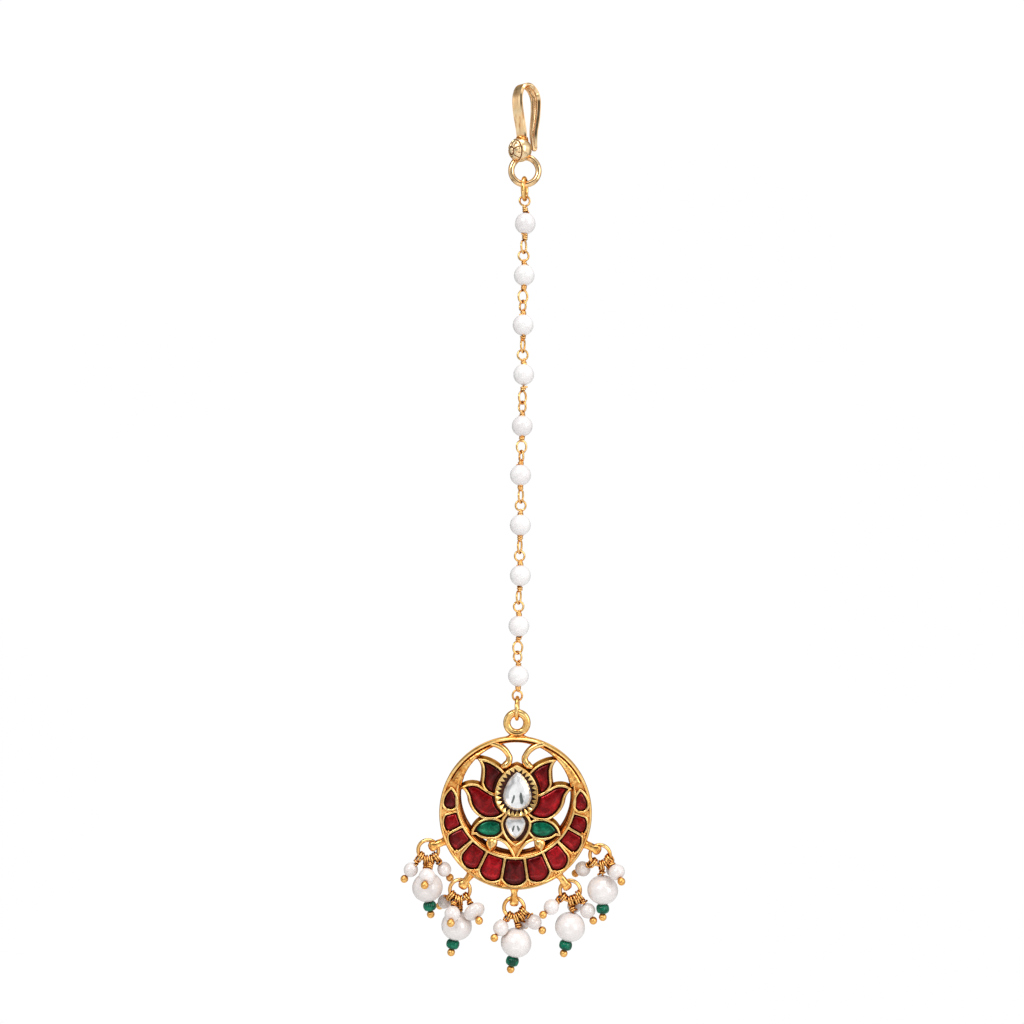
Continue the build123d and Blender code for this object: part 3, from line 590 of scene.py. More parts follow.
def flat_mesh(adds, subs, tests, front, back, place):
    """Slab over the union of outlines: tests says which of the overlaps are solid."""
    loops = adds + subs
    co, faces = [], []
    for lp in loops:
        faces.append(list(range(len(co), len(co) + len(lp))))
        co += [Vector(q) for q in lp]
    v, _, f, _, _, owner = delaunay_2d_cdt(co, [], faces, 1, 1e-6)
    keep = [tri for tri, own in zip(f, owner) if tests(set(own))]
    v = np.array([tuple(q) for q in v])
    tris = []
    for tri in keep:
        p = v[list(tri)]
        tris.append(list(tri) if area(p) > 0 else list(tri)[::-1])
    n = len(v)
    count = {}
    for tri in tris:
        for a, b in zip(tri, tri[1:] + tri[:1]):
            count[(a, b)] = count.get((a, b), 0) + 1
    out = [list(t) for t in tris] + [[i + n for i in t[::-1]] for t in tris]
    out += [[a, a + n, b + n, b] for a, b in count if (b, a) not in count]
    verts = np.vstack([place(v, front), place(v, back)])
    used = sorted({i for t in out for i in t})
    remap = {o: i for i, o in enumerate(used)}
    return verts[used], [[remap[i] for i in t][::-1] for t in out]


def dome(line, base, girdle, top, centre=None, bulge=0.30, facets=None):
    """Stone on an outline: straight sides up to girdle, then a rounded or flat-topped dome."""
    line = np.asarray(line, float)
    c = np.mean(line, 0) if centre is None else np.array(centre)
    nrm = normals2(line)
    reach = np.min(np.linalg.norm(line - c, axis=1))
    rings = [pend(line, base), pend(line, girdle)]
    shrink = min(bulge, reach * 0.45)
    for a in np.radians([20, 42, 66]):
        inset = line - nrm * shrink * (1 - math.cos(a))
        rings.append(pend(inset, girdle + (top - girdle) * 0.72 * math.sin(a)))
    inner = line - nrm * shrink
    for t in (0.12, 0.3, 0.52, 0.75, 0.93):
        inner = smooth2(inner, int(6 + 30 * t))
        ring = inner + (c - inner) * t
        rings.append(pend(ring, girdle + (top - girdle) * (0.75 + 0.25 * math.sin(t * math.pi / 2))))
    return skin(np.array(rings))


def catmull(points, per=8, closed=False):
    p = np.asarray(points, float)
    n = len(p)
    out = []
    for i in range(n if closed else n - 1):
        g = [p[(i + k) % n] if closed else p[min(max(i + k, 0), n - 1)] for k in (-1, 0, 1, 2)]
        for t in np.arange(per) / per:
            out.append(0.5 * ((2 * g[1]) + (-g[0] + g[2]) * t
                              + (2 * g[0] - 5 * g[1] + 4 * g[2] - g[3]) * t**2
                              + (-g[0] + 3 * g[1] - 3 * g[2] + g[3]) * t**3))
    if not closed:
        out.append(p[-1])
    return np.array(out)


def relax(p, rounds=2):
    p = p.copy()
    for _ in range(rounds):
        p[1:-1] = 0.25 * p[:-2] + 0.5 * p[1:-1] + 0.25 * p[2:]
    return p


# ---------------------------------------------------------------- wire work
def wrapped_loop(foot, axis, plane_n, loop_at, radius, wire, turns, pitch, hand=1, tail=0.35,
                 stretch=1.0, phase=0.0, per=16, rounds=1, girth=1.0):
    """One wire: up the shank, round the loop, back down the shank in close turns, and out."""
    ax, n = unit(axis), unit(plane_n)
    n = unit(n - ax * np.dot(n, ax))
    s = np.cross(ax, n)
    up = np.dot(loop_at - foot, ax)
    shift = (loop_at - foot) - ax * up
    a = np.linspace(-math.pi / 2, (2 * rounds - 0.5) * math.pi, 34 * rounds)
    lift = np.linspace(-0.55, 0.55, len(a)) * wire * hand * rounds
    ring = (np.asarray(foot) + shift + ax * up + (radius * np.cos(a) * hand)[:, None] * s
            + (radius * stretch * np.sin(a))[:, None] * ax + lift[:, None] * n)
    neck = up - radius * stretch
    high = neck - wire * 0.35
    k = int(turns * per)
    w = np.linspace(0, turns * TAU, k)
    grow = np.clip(np.arange(k) / (0.4 * per), 0, 1)
    start = math.atan2(0.55 * hand, 0.25) + phase
    rad = wire * girth * (0.55 + 0.45 * grow) * (1 + 0.07 * np.sin(w * 0.7 + phase))
    drop = high - pitch * w / TAU
    coil = (np.asarray(foot) + ax * drop[:, None] + shift * np.clip(drop / max(up, 0.1), 0, 1)[:, None]
            + (rad * np.cos(start + w * hand))[:, None] * s
            + (rad * np.sin(start + w * hand))[:, None] * n)
    parts = [ring, coil]
    if tail:
        d = unit(coil[-1] - coil[-2])
        out = unit(coil[-1] - (np.asarray(foot) + ax * drop[-1]))
        parts.append(np.array([coil[-1] + (d * 0.8 + out * 0.45) * tail * q for q in (0.5, 1.0)]))
    return relax(np.vstack(parts), 2)


# ================================================================= hook
def build_hook():
    turn = math.radians(50)
    d = np.array([math.cos(turn), math.sin(turn), 0.0])
    n = np.array([math.sin(turn), -math.cos(turn), 0.0])
    z = np.array([0, 0, 1.0])
    rows = [(-1.25, -9.9, 2.05), (-1.12, -9.0, 2.05), (-1.18, -8.0, 2.05), (-1.6, -6.4, 2.1),
            (-2.15, -4.6, 2.1), (-2.42, -2.9, 2.1), (-2.32, -1.5, 2.08), (-1.75, -0.42, 2.06),
            (-0.9, 0.18, 2.05), (0.03, 0.35, 2.05), (0.95, 0.18, 2.05), (1.82, -0.42, 2.05),
            (2.38, -1.5, 2.03), (2.46, -2.9, 2.0), (2.38, -4.4, 1.96), (2.16, -5.9, 1.84),
            (2.02, -6.9, 1.70), (2.00, -7.9, 1.56), (2.10, -8.9, 1.42), (2.24, -9.7, 1.24),
            (2.30, -10.05, 0.95), (2.32, -10.24, 0.5)]
    c = relax(catmull([(r[0], r[1], r[2]) for r in rows], 12), 14)
    s = np.r_[0, np.cumsum(np.linalg.norm(np.diff(c[:, :2], axis=0), axis=1))]
    s_even = np.linspace(0, s[-1], 190)
    c = np.array([np.interp(s_even, s, c[:, k]) for k in range(3)]).T
    path2, width = c[:, :2], c[:, 2] + 0.06
    t = tangents(np.c_[path2, np.zeros(len(path2))], False)
    nrm = np.c_[-t[:, 1], t[:, 0]]
    th = np.full(len(c), 0.35)
    th[-22:] = np.linspace(0.35, 0.18, 22)
    rings = []
    for i in range(len(c)):
        w, h = width[i] / 2, th[i]
        b = min(0.22, w * 0.45)
        e = w - b * 1.5
        prof = [(-w, -h + b), (-w + b, -h), (w - b, -h), (w, -h + b), (w, h - b * 1.2), (e, h)]
        prof += [(e * q, h + 0.10 * (1 - q * q) - 0.19 * math.exp(-((abs(q) - 0.62) / 0.17) ** 2))
                 for q in (0.84, 0.7, 0.58, 0.44, 0.22, 0, -0.22, -0.44, -0.58, -0.7, -0.84)]
        prof += [(-e, h), (-w, h - b * 1.2)]
        o = d * path2[i, 0] + z * path2[i, 1]
        rings.append([o + n * a + (d * nrm[i, 0] + z * nrm[i, 1]) * -q for a, q in prof])
    bag = Bag().put(skin(np.array(rings)), STRIP)

    # ball: right side plain and bright, left and front set with a grained rosette
    m = unit((-0.78, -0.52, -0.22))
    e1 = unit(np.cross(m, z))
    e2 = np.cross(m, e1)
    nu, nv = 168, 108
    rings, cut = [], []
    for j in range(1, nv):
        lat = math.pi * j / nv
        ring, dark = [], []
        for i in range(nu):
            lon = TAU * i / nu
            p = np.array([math.sin(lat) * math.cos(lon), math.sin(lat) * math.sin(lon), math.cos(lat)])
            al = math.acos(np.clip(p @ m, -1, 1)) / math.radians(64)
            groove = 0.0
            if al < 1.2:
                psi = math.atan2(p @ e2, p @ e1) + 0.4
                off = abs((psi / TAU * 5) % 1.0 - 0.5) * 2          # 1 between petals, 0 on their midribs
                span = (1 - off) * al * 2.2
                groove = max(math.exp(-((al - 0.30) / 0.075) ** 2), math.exp(-((al - 1.0) / 0.05) ** 2),
                             math.exp(-(span / 0.16) ** 2) * (0.28 < al < 1.0),
                             0.75 * math.exp(-(off / 0.10) ** 2) * (0.52 < al < 0.86))
            ring.append(BALL + p * (2.0 - 0.15 * groove))
            dark.append(groove)
        rings.append(ring)
        cut.append(dark)
    v, f = skin(np.array(rings))
    cut = np.array(cut).ravel()
    deep = [face for face in f if len(face) == 4 and np.mean(cut[face]) > 0.55]
    rest = [face for face in f if not (len(face) == 4 and np.mean(cut[face]) > 0.55)]
    bag.put((v, rest), ENGRAVED)
    bag.put((v, deep), CARVED)
    top = BALL + np.array([0.30, 0.32, 0])
    collar = [(0.55, 1.55), (1.02, 1.60), (1.10, 1.74), (1.03, 1.88), (0.96, 1.92), (1.04, 2.02),
              (1.02, 2.14), (0.93, 2.24), (0.80, 2.28), (0.5, 2.3)]
    bag.put(lathe(collar, top, (0.02, 0.02, 1)), CAST)
    # small eye on the ball's back, through which the ring passes
    back = np.array([mid_mm("hook_ring")[0] - 0.85, CY, BALL[2] - 0.05])
    bag.put(lathe([(0.62, -0.5), (0.92, -0.5), (0.96, -0.4), (0.96, 0.4), (0.92, 0.5), (0.62, 0.5)],
                  back, (0.93, 0, 0.37), 32), CAST)
    bag.make("hook_strip", "chain", "antique_gold", ["hook"], 32)


def build_top_rings():
    lo, hi = box_mm("hook_ring")
    c = np.array([(lo[0] + hi[0]) / 2, CY, lo[2] + 2.31 + 0.525])
    Bag().put(hoop(c, (0, 1, 0), 2.31, 0.53, 110, 18, 0.006), RING).make(
        "hook_ring_gold", "chain", "antique_gold", ["hook_ring"])
    c = mid_mm("top_link")
    a = math.radians(80)
    Bag().put(hoop(c, (math.sin(a), -math.cos(a), 0), 1.765, 0.355, 90, 16, 0.008, gap=2.0,
                   start=150), WIRE).make("top_link_gold", "chain", "antique_gold", ["top_link"])
    c = mid_mm("bottom_link")
    a = math.radians(86)
    Bag().put(hoop(c, (math.sin(a), -math.cos(a), 0), 1.81, 0.325, 90, 16, 0.006, gap=2.0,
                   start=200), WIRE).make("bottom_link_gold", "bottom_link", "antique_gold",
                                          ["bottom_link"])


def build_chain():
    w = 0.36
    above_x = mid_mm("top_link")[0] + 0.05
    for i, (below_x, turn_top, turn_low, n_top, n_low) in enumerate(CHAIN):
        name = "%02d" % (i + 1)
        pearl_at = mid_mm("chain_pearl_" + name)
        lo, hi = box_mm("link_wire_" + name)
        bag = Bag()
        px, pz = pearl_at[0], pearl_at[2]
        z = np.array([0, 0, 1.0])
        for up, turn, ex, count, end in ((1, turn_top, above_x, n_top, hi[2]),
                                         (-1, turn_low, below_x, n_low, lo[2])):
            a = math.radians(turn)
            n = np.array([math.sin(a), -math.cos(a), 0])
            r = 0.87 if up > 0 else 0.82
            cz = end - up * (r + w / 2)
            if up < 0:
                r_long = min((pz - 2.5 - end) / 2 - w / 2 + 0.12, 1.05)
                cz = end + r_long + w / 2
                stretch = r_long / r
            else:
                stretch = 1.0
            foot = np.array([px, CY, pz + up * 1.86])
            room = abs(cz - foot[2]) - r * stretch
            pitch = min(0.345, room / max(count - 0.3, 1))
            hand = 1 if (i + (up > 0)) % 2 else -1
            path = wrapped_loop(foot, z * up, n, np.array([ex, CY, cz]), r, w, count - 0.15, pitch,
                                hand, 0.30, stretch, 0.5 * i)
            bag.put(tube(path, w / 2, 10), WIRE)
        bag.put(tube([[px, CY, pz - 2.6], [px, CY, pz], [px, CY, pz + 2.6]], w / 2, 10), WIRE)
        bag.make("chain_wire_" + name, "chain", "antique_gold", ["link_wire_" + name])
        # pearl, drilled, very slightly off round
        r0 = 1.8
        prof = [(0.24, -r0 * 0.96)] + [
            (r0 * math.cos(t), r0 * math.sin(t)) for t in np.linspace(-1.40, 1.40, 30)
        ] + [(0.24, r0 * 0.96)]
        ph = rng.uniform(0, 6)
        Bag().put(lathe(prof, pearl_at, (0, 0, 1), 44,
                        lambda an, h, ph=ph: 1 - 0.008 + 0.008 * np.sin(2 * an + ph)), PEARL).make(
            "pearl_" + name, "chain", "pearl", ["chain_pearl_" + name], 60)
        above_x = below_x


# ================================================================= pendant
def polar(deg, r, up=0.0):
    a = math.radians(deg)
    return (r * math.sin(a), -r * math.cos(a) + up)


def circle(r, n, up=0.0, dx=0.0):
    a = np.arange(n) * TAU / n
    return np.c_[dx + r * np.cos(a), up + r * np.sin(a)]


def cell(low, high, side):
    a, b = polar(low[0], RIDGE_R, OPEN_UP), polar(high[0], RIDGE_R, OPEN_UP)
    inner = polar((low[0] + high[0]) / 2, RIDGE_R, OPEN_UP)
    mixed = lambda d, t: d[0] + (d[1] - d[0]) * t
    late = low[0] > 40
    out_r, share = (11.95, 0.86) if late else (11.35, 0.66)
    c, d = polar(mixed(high, share), out_r), polar(mixed(low, share), out_r)
    mid = polar((low[1] + high[1]) / 2, 12.42)
    flip = lambda p: (side * p[0], p[1])
    a, b, c, d, inner, mid = (flip(p) for p in (a, b, c, d, inner, mid))
    p = np.vstack([arc3(a, inner, b), line2(b, c), arc3(c, mid, d), line2(d, a)])
    return p[::-1] if area(p) < 0 else p


def cells():
    first = (-DIVIDERS[0][0], -DIVIDERS[0][1])
    out = {"cell_0": cell(first, DIVIDERS[0], 1)}
    for k, (low, high) in enumerate(zip(DIVIDERS[:-1], DIVIDERS[1:])):
        out["cell_r%d" % (k + 1)] = cell(low, high, 1)
        out["cell_l%d" % (k + 1)] = cell(low, high, -1)
    out["end_r"] = outline(END_STONE)
    out["end_l"] = outline(END_STONE, True)
    return out


def inset(line, by):
    """Line drawn in by that much, without the points that fold over at corners."""
    p = line - normals2(line) * by
    if by <= 0:
        return p
    a = line
    ab = np.roll(line, -1, 0) - a
    d = p[:, None, :] - a[None]
    t = np.clip(np.sum(d * ab[None], 2) / np.sum(ab**2, 1)[None], 0, 1)
    gap = np.sqrt(np.min(np.sum((d - t[..., None] * ab[None]) ** 2, 2), 1))
    return p[gap > by * 0.97]


def even(line, step=0.16, closed=True):
    q = np.vstack([line, line[:1]]) if closed else line
    s = np.r_[0, np.cumsum(np.linalg.norm(np.diff(q, axis=0), axis=1))]
    t = np.linspace(0, s[-1], max(8, int(round(s[-1] / step))), endpoint=not closed)
    return np.c_[np.interp(t, s, q[:, 0]), np.interp(t, s, q[:, 1])]


def in_poly(p, poly):
    x, y = p
    x0, y0 = poly[:, 0], poly[:, 1]
    x1, y1 = np.roll(x0, -1), np.roll(y0, -1)
    hit = ((y0 > y) != (y1 > y)) & (x < (x1 - x0) * (y - y0) / (y1 - y0 + 1e-15) + x0)
    return bool(np.sum(hit) % 2)


def longest(line, mask, extra=0):
    """The longest run of a closed line where mask holds."""
    n, best = len(line), (0, 0)
    for s in range(n):
        if mask[s] and not mask[s - 1]:
            k = 0
            while k < n and mask[(s + k) % n]:
                k += 1
            best = max(best, (k, s))
    return np.roll(line, -best[1], 0)[:best[0] + extra]


def visible_run(line, blocker):
    """The part of a closed line that lies outside another outline."""
    out = np.array([not in_poly(p, blocker) for p in line])
    return (line, True) if out.all() else (longest(line, out, 1), False)


def clipped(line, blocker):
    """Outline less another outline that bites into it."""
    out = np.array([not in_poly(p, blocker) for p in line])
    if out.all():
        return line
    bite = longest(blocker, np.array([in_poly(p, line) for p in blocker]))
    return even(np.vstack([longest(line, out), bite[::-1]]))


def pillow(shape, hole, place, half, soft):
    """Drilled bar whose outline is drawn in towards both faces."""
    drawn = lambda e: shape - normals2(shape) * e
    steps = [(-1.0, soft), (-0.93, soft * 0.52), (-0.78, soft * 0.2), (-0.4, 0.02), (0.0, 0.0),
             (0.4, 0.02), (0.78, soft * 0.2), (0.93, soft * 0.52), (1.0, soft)]
    v, f = skin(np.array([place(drawn(e), w * half) for w, e in steps]), cap=False)
    v, f = [v], list(f)
    n = len(v[0])
    co = [Vector(q) for q in np.vstack([drawn(soft), hole])]
    k = len(shape)
    loops = [list(range(k)), list(range(k, k + len(hole)))]
    cv, _, cf, _, _, owner = delaunay_2d_cdt(co, [], loops, 1, 1e-6)
    cv = np.array([tuple(q) for q in cv])
    for w in (-half, half):
        f += [[i + n for i in tri] for tri, own in zip(cf, owner) if 1 not in own]
        v.append(place(cv, w))
        n += len(cv)
    hv, hf = skin(np.array([place(hole, w) for w in (-half, half)]), cap=False)
    f += [[i + n for i in q] for q in hf]
    v.append(hv)
    return np.vstack(v), f


def sheet(line, depth, thick=0.12):
    return flat_mesh([line], [], lambda own: True, depth, depth + thick, pend)


def cut_stone(outer, base, girdle, rings, table, centre):
    """Faceted stone: girdle outline, then rings of (share of the way in, depth) and a table."""
    k = len(outer)
    c = np.asarray(centre)
    rows = [pend(outer, base), pend(outer, girdle)]
    rows += [pend(c + (outer - c) * share, depth) for share, depth in rings]
    v = np.vstack(rows + [pend([c], table)])
    f = []
    for r in range(len(rows) - 1):
        for i in range(k):
            j = (i + 1) % k
            q = [r * k + i, r * k + j, (r + 1) * k + j, (r + 1) * k + i]
            if r == 0:
                f.append(q)
            elif (i + r) % 2:
                f += [[q[0], q[1], q[2]], [q[0], q[2], q[3]]]
            else:
                f += [[q[0], q[1], q[3]], [q[1], q[2], q[3]]]
    last = (len(rows) - 1) * k
    f += [[last + i, last + (i + 1) % k, len(v) - 1] for i in range(k)]
    f.append(list(range(k))[::-1])
    return v, f


def build_pendant():
    lotus = lambda rows, flip=False: outline(rows, flip, LOTUS_X)
    petals = {"upper_right": lotus(UPPER_PETAL), "upper_left": lotus(UPPER_PETAL, True),
              "lower_right": lotus(LOWER_PETAL), "lower_left": lotus(LOWER_PETAL, True)}
    egg, bud = lotus(EGG), lotus(BUD)
    leaves = {"right": lotus(LEAF), "left": lotus(LEAF, True)}
    all_cells = cells()
    skirt = 0.22
    scroll_lines = {}
    for flip in (False, True):
        sg = -1 if flip else 1
        p = [(sg * x + LOTUS_X, v) for x, v in SCROLL]
        scroll_lines[flip] = even(np.vstack([arc3(p[0], p[1], p[2]), arc3(p[2], p[3], p[4]),
                                             [p[4]]]), 0.15, False)

    def band(line, half):
        n = normals2(line, False)
        return np.vstack([line + n * half, (line - n * half)[::-1]])

    adds = [circle(DISC_R - 0.12, 220)]
    adds += [inset(p, -skirt) for p in list(petals.values()) + [egg, bud] + list(leaves.values())]
    adds.append(lotus(FOOT_WEB))
    adds += [lotus(GOLD_BUD), lotus(GOLD_BUD, True)]
    adds += [band(scroll_lines[False], 0.38), band(scroll_lines[True], 0.38)]
    pads = [(6.75, 9.55, 0.55), (9.35, 4.25, 0.45), (7.55, -3.75, 0.40)]
    adds += [circle(r, 20, v, s * u) for u, v, r in pads for s in (-1, 1)]
    subs = [circle(OPEN_R, 200, OPEN_UP)]
    cut = len(adds)

    def solid(own):
        return any(0 < i < cut for i in own) or (0 in own and cut not in own)

    frame_bag = Bag()

    # outer rim: rolled edge, a groove inside it, a plain outer wall
    a = np.arange(260) * TAU / 260
    rim_line = np.c_[np.cos(a), np.sin(a)] * 12.74
    rim = [(-0.36, PLATE_Y + 0.2), (-0.36, RIM_Y + 0.22), (-0.29, RIM_Y + 0.06), (-0.14, RIM_Y - 0.03),
           (0.02, RIM_Y - 0.02), (0.13, RIM_Y + 0.08), (0.20, RIM_Y + 0.26), (0.215, 0.35),
           (0.19, 0.62), (0.10, BACK_Y + 0.01), (-0.36, BACK_Y + 0.01)]
    frame_bag.put(ridge(rim_line, rim), SMOOTH)

    # plain horns: one rounded band from step to step over the top
    a0 = math.atan2(5.45, 10.95)

    def inner_edge(th):
        b = math.sin(th) * OPEN_UP
        return b + math.sqrt(b * b - OPEN_UP**2 + (OPEN_R + 0.02) ** 2)

    rings = []
    for th in np.linspace(a0, math.pi - a0, 140):
        u = np.array([math.cos(th), math.sin(th)])
        t_in, t_out = inner_edge(th), 12.26
        h, span = HORN_Y, t_out - inner_edge(th)
        e = min(0.24, span * 0.35)
        prof = [(t_in, PLATE_Y + 0.2), (t_in, h + 0.30), (t_in + e * 0.35, h + 0.11), (t_in + e, h),
                (t_in + span * 0.5, h - 0.06), (t_out - e, h), (t_out - e * 0.3, h + 0.10),
                (t_out, h + 0.26), (t_out, PLATE_Y + 0.2)]
        rings.append([pend(np.array([u * r]), dep)[0] for r, dep in prof])
    frame_bag.put(skin(np.array(rings)), CAST)

    # lower shoulder of each horn, round the end setting
    for sg, name in ((1, "end_r"), (-1, "end_l")):
        th = np.linspace(math.atan2(0.2, 12.4), a0 + 0.02, 26)
        out = np.c_[12.45 * np.cos(th), 12.45 * np.sin(th)]
        inn = np.array([[math.cos(q), math.sin(q)] for q in th])
        inn = inn * (np.array([inner_edge(q) for q in th]) + 0.45)[:, None]
        shape = np.vstack([out, inn[::-1]])
        shape[:, 0] *= sg
        shape = shape[::-1] if area(shape) < 0 else shape
        me = flat_mesh([shape], [inset(all_cells[name], 0.05)], lambda own: 1 not in own, -0.78,
                       PLATE_Y + 0.1, pend)
        frame_bag.put(me, CAST)

    # fine ridge inside the crescent, and the plain shoulder down to the opening
    lo_deg = math.degrees(math.asin((5.1 - OPEN_UP) / RIDGE_R))
    a = np.radians(np.linspace(180 - lo_deg, 360 + lo_deg, 240))
    line = np.c_[RIDGE_R * np.cos(a), OPEN_UP + RIDGE_R * np.sin(a)]
    frame_bag.put(faded(line, bead_profile(0.215, RIDGE_Y - 0.02, PLATE_Y + 0.1), -0.80, 16), BEZEL)
    shoulder = [(0.02, PLATE_Y + 0.1), (0.02, PLATE_Y - 0.20), (-0.12, PLATE_Y - 0.26),
                (-0.34, PLATE_Y - 0.16), (-0.50, PLATE_Y + 0.06), (-0.55, PLATE_Y + 0.4),
                (-0.53, BACK_Y), (0.02, BACK_Y)]
    frame_bag.put(faded(line, shoulder, PLATE_Y + 0.3, 10), CAST)
    # inner lip low in the opening, dark as painted shade
    rings = []
    for a in np.radians(np.linspace(160, 380, 180)):
        u = np.array([math.cos(a), math.sin(a)])
        far = abs(math.degrees(a) - 270)
        w = 0.12 + 0.88 * np.clip((104 - far) / 45, 0, 1)
        rings.append([pend([u * (OPEN_R - 0.02 + o * w) + (0, OPEN_UP)], dep)[0]
                      for o, dep in ((0.05, 0.10), (-0.20, 0.06), (-0.42, 0.20), (-0.50, 0.42),
                                     (-0.46, BACK_Y - 0.02), (0.05, BACK_Y - 0.02))])
    frame_bag.put(skin(np.array(rings)), LIP_PAINTED_SHADE)
    frame_bag.make("pendant_rim", "pendant", "antique_gold", ["pendant_frame"], 38)
    Bag().put(flat_mesh(adds, subs, solid, PLATE_Y, BACK_Y, pend), SKIRT).make(
        "pendant_plate", "pendant", "antique_gold", (), 30)

    # crescent: dividers and cell walls, then the dark beds
    bez = Bag()
    out = np.radians(np.linspace(3, -183, 170))
    inn = np.radians(np.linspace(-169.1, -10.9, 150))
    field = np.vstack([np.c_[12.5 * np.cos(out), 12.5 * np.sin(out)],
                       np.c_[RIDGE_R * np.cos(inn), OPEN_UP + RIDGE_R * np.sin(inn)]])
    field = field[::-1] if area(field) < 0 else field
    walls_in = [inset(line, 0.05) for line in all_cells.values()]
    bez.put(flat_mesh([field], walls_in, lambda own: 0 in own and len(own) == 1, -1.00,
                      PLATE_Y + 0.1, pend), FIELD)
    wall = bead_profile(0.19, RIDGE_Y + 0.02, PLATE_Y + 0.1)
    for name, line in all_cells.items():
        if name.startswith("end"):
            bez.put(ridge(smooth2(even(line, 0.12), 1),
                          bead_profile(0.225, RIDGE_Y - 0.06, PLATE_Y + 0.1)), BEZEL)
        else:
            bez.put(ridge(smooth2(even(inset(line, 0.03), 0.12), 5), wall, True, 0.05), BEZEL)
    for sg in (-1, 1):
        for at_ridge, at_rim in DIVIDERS:
            if at_rim > 80:
                continue
            for dr, da, r in ((0.02, 0.0, 0.30), (-0.34, 0.0, 0.24), (0.16, 1.9, 0.22),
                              (0.16, -1.9, 0.22)):
                u, v = polar(sg * (at_rim + da), 12.12 + dr)
                c = np.array([u, CY - 1.04, DISC_Z + v])
                prof = [(r * math.cos(t), r * math.sin(t)) for t in np.linspace(-1.45, 1.45, 9)]
                bez.put(lathe(prof, c, (0, -1, 0), 14), CAST)
    bez.make("crescent_bezels", "pendant", "antique_gold", (), 45)

    # dark beds under the stones, showing as the crease round each: part oxide, part painted shade
    beds = Bag()
    for name, line in all_cells.items():
        beds.put(sheet(even(inset(line, 0.08)), PLATE_Y - 0.05), SEAT_RED)
    for line in petals.values():
        beds.put(sheet(clipped(even(inset(line, 0.10)), egg), PLATE_Y - 0.05), SEAT_RED)
    for line in leaves.values():
        beds.put(sheet(clipped(even(inset(line, 0.10)), bud), PLATE_Y - 0.05), SEAT)
    beds.put(sheet(clipped(even(inset(bud, 0.10)), egg), PLATE_Y - 0.05), SEAT)
    beds.put(sheet(even(inset(egg, 0.12)), -0.95, 0.45), SEAT)
    beds.make("setting_beds", "pendant", "antique_gold", (), 30)

    ruby_of = {"cell_0": RUBY_DEEP, "cell_l1": RUBY_LIGHT, "cell_r2": RUBY_LIGHT, "cell_l2": RUBY,
               "cell_r1": RUBY, "end_l": RUBY_DEEP}
    gems = Bag()
    for name, line in all_cells.items():
        by = 0.28 if name.startswith("end") else 0.32
        rounds = 2 if name.startswith("end") else 9 if name[-1] in "34" else 22
        body = smooth2(even(inset(line, by), 0.13), rounds)
        gems.put(dome(body, PLATE_Y, -0.80, -1.20, bulge=0.55), ruby_of.get(name, RUBY))
    gems.make("crescent_stones", "pendant", "ruby", ["crescent_rubies"], 70)

    # lotus walls
    lot = Bag()
    thick = bead_profile(0.205, RIDGE_Y, PLATE_Y + 0.1)
    slope = [(0.0, -0.92), (0.19, -0.90), (0.27, -0.60), (0.40, 0.0), (0.50, 0.5), (0.48, BACK_Y - 0.01),
             (0.0, BACK_Y - 0.01)]
    for line, over in ([(q, egg) for q in petals.values()] + [(q, bud) for q in leaves.values()]):
        run, closed = visible_run(line, over)
        lot.put(ridge(run, thick, closed, 0.05), BEZEL)
        lot.put(ridge(run, slope, closed), SKIRT)
    run, closed = visible_run(bud, egg)
    lot.put(ridge(run, bead_profile(0.225, RIDGE_Y - 0.05, PLATE_Y + 0.1), closed, 0.04), BEZEL)
    lot.put(ridge(run, slope, closed), SKIRT)
    # egg setting: rolled edge and a row of teeth cut inwards over the bed
    lot.put(ridge(inset(even(egg, 0.12), 0.16),
                  [(0.15, PLATE_Y + 0.1), (0.15, EGG_Y + 0.20), (0.09, EGG_Y + 0.05), (0.0, EGG_Y),
                   (-0.09, EGG_Y + 0.03), (-0.14, EGG_Y + 0.14), (-0.14, PLATE_Y)]), BEZEL)
    loop = even(egg, 0.05)
    nrm = normals2(loop)
    n, teeth = len(loop), 28
    for k in range(teeth):
        m = n * k / teeth + 0.03 * n / teeth * math.sin(5.1 * k)
        ia, im, ib = (int(round(q)) % n for q in (m - 0.49 * n / teeth, m, m + 0.49 * n / teeth))
        pa, pm, pb = (loop[i] - nrm[i] * 0.27 for i in (ia, im, ib))
        tip = loop[im] - nrm[im] * (1.04 + 0.05 * math.sin(3.3 * k))
        top, low = EGG_Y + 0.07, EGG_Y + 0.34
        v = np.vstack([pend([pa], top + 0.02), pend([pm], top - 0.07), pend([pb], top + 0.02),
                       pend([tip], low), pend([pa], top + 0.34), pend([pb], top + 0.34),
                       pend([tip], low + 0.30)])
        f = [[0, 1, 3], [1, 2, 3], [0, 3, 6, 4], [3, 2, 5, 6], [0, 4, 5, 2, 1], [4, 6, 5]]
        lot.put((v, [g[::-1] for g in f]), BEZEL, True)
    lot.make("lotus_bezels", "pendant", "antique_gold", (), 45)

    for name, line in petals.items():
        body = clipped(even(inset(line, 0.38)), inset(egg, -0.36))
        tone = {"upper_left": RUBY_DEEP, "upper_right": RUBY, "lower_left": RUBY,
                "lower_right": RUBY_LIGHT}[name]
        Bag().put(dome(smooth2(body, 2), PLATE_Y, -0.78, -1.14, bulge=0.5), tone).make(
            "petal_stone_" + name, "pendant", "ruby", ["petal_ruby_" + name], 70)
    for name, line in leaves.items():
        body = clipped(even(inset(line, 0.42)), inset(bud, -0.34))
        Bag().put(dome(smooth2(body, 3), PLATE_Y, -0.78, -1.14, bulge=0.5), EMERALD).make(
            "leaf_stone_" + name, "pendant", "emerald", ["leaf_emerald_" + name], 70)

